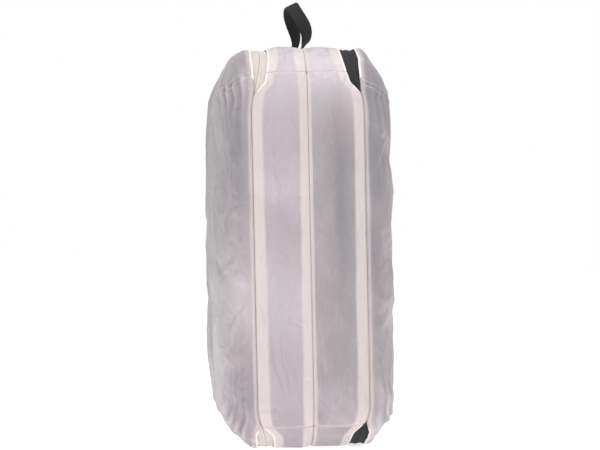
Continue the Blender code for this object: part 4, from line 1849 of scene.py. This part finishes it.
class ShoeBag:
    """Builds every piece of the bag and hands it to the frame."""

    def __init__(self, shape: BagShape) -> None:
        """Make the finishes and the repeating trees.

        Args:
            shape: The bag's sizes.
        """
        self.shape = shape
        self.finishes = Finishes()
        self.stitches = RowTree(RowShape.STITCH)
        self.coils = RowTree(RowShape.COIL)

    def on_flap(self, thing: bpy.types.Object, side: Side, replaced: Sequence[str]) -> None:
        """Bake the placement of a piece that lies between the spine and a side panel into its mesh, leave it with
        no parent, and hide the nodes that it stands for.
        """
        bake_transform(thing)
        if replaced:
            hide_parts(*replaced)
        LOG.info("%s bends to %s_flap, %d faces", thing.name, side.label, len(thing.data.polygons))

    def stitch(self, name: str, lines: Sequence[Line]) -> bpy.types.Object:
        """Sew along lines."""
        return self.stitches.make(name, lines, self.finishes.thread, spacing=3.0 * MM, length=2.3 * MM,
                                  height=0.22 * MM, wire=0.34 * MM, jitter=0.06)

    def build_cloth(self) -> None:
        """Panels, gusset pieces and their seams."""
        shape, finishes = self.shape, self.finishes
        turn = shape.outline.length
        root_lines: list[Line] = []
        for side, darts in DARTS.items():
            panel = Panel(shape, side, darts)
            cloth = panel.build(finishes.cloth)
            lines = lay_on(panel.seam_lines(), cloth)
            self.on_flap(cloth, side, [side.label + "_panel"])
            self.on_flap(self.stitch(side.label + "_panel_stitching", lines), side, [])
            spans = (("spine", -shape.cross_seam + 0.05 * MM, shape.cross_seam - 0.05 * MM),
                     ("gusset", shape.cross_seam + 0.05 * MM, turn - shape.cross_seam - 0.05 * MM))
            for node, start, end in spans:
                piece = GussetPiece(shape, side, f"{side.label}_{node}_cloth", start, end)
                cloth = piece.build(finishes.cloth)
                root_lines += lay_on(piece.seam_lines(), cloth, 8 * MM)
                report(cloth, "root", [f"{side.label}_{node}"])
        report(self.stitch("gusset_stitching", root_lines), "root", [])

    def build_inside(self) -> None:
        """The divider and the binding tapes."""
        inside = Inside(self.shape)
        divider = inside.divider(self.finishes.lining)
        report(divider, "root", ["divider"])
        for tape, node in inside.bindings(self.finishes.binding):
            report(tape, "root", [node])

    def build_zips(self) -> None:
        """Both zips with their sliders and pulls."""
        for side in Side:
            fastener = Zip(self.shape, side, self.coils)
            for half in Half:
                stem = f"{side.label}_{half.value[0]}_zip"
                tape = fastener.tape(half, self.finishes.tape[side])
                coil = fastener.coil(half, self.finishes.coil[side])
                if half is Half.PANEL:
                    self.on_flap(tape, side, [stem + "_tape"])
                    self.on_flap(coil, side, [stem + "_teeth"])
                else:
                    report(tape, "root", [stem + "_tape"])
                    report(coil, "root", [stem + "_teeth"])
            for end in End:
                slider = SliderSet(side, end)
                report(slider.body(self.finishes.slider[side]), slider.stem + "_runner",
                       [slider.stem + "_slider"])
                report(slider.pull(self.finishes.slider[side]), slider.stem + "_handle",
                       [slider.stem + "_pull"])

    def build_handle(self) -> None:
        """The carrying handle and the stitches that hold it."""
        handle = Handle()
        top = self.shape.outline.height
        made = handle.build(top, self.finishes.webbing)
        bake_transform(made)
        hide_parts("grab_loop")
        LOG.info("%s, %d faces", made.name, len(made.data.polygons))
        tacks = self.stitches.make("handle_bartacks", handle.bartacks(self.shape), self.finishes.black_thread,
                                   spacing=1.3 * MM, length=1.25 * MM, height=0.25 * MM,
                                   wire=0.38 * MM, jitter=0.05)
        report(tacks, "root", [])


def main() -> None:
    """Build the studio and the bag."""
    logging.basicConfig(level=logging.INFO, format="%(name)s: %(message)s")
    Studio().build()
    bag = ShoeBag(read_shape())
    bag.build_cloth()
    bag.build_inside()
    bag.build_zips()
    bag.build_handle()


if __name__ == "__main__":
    main()
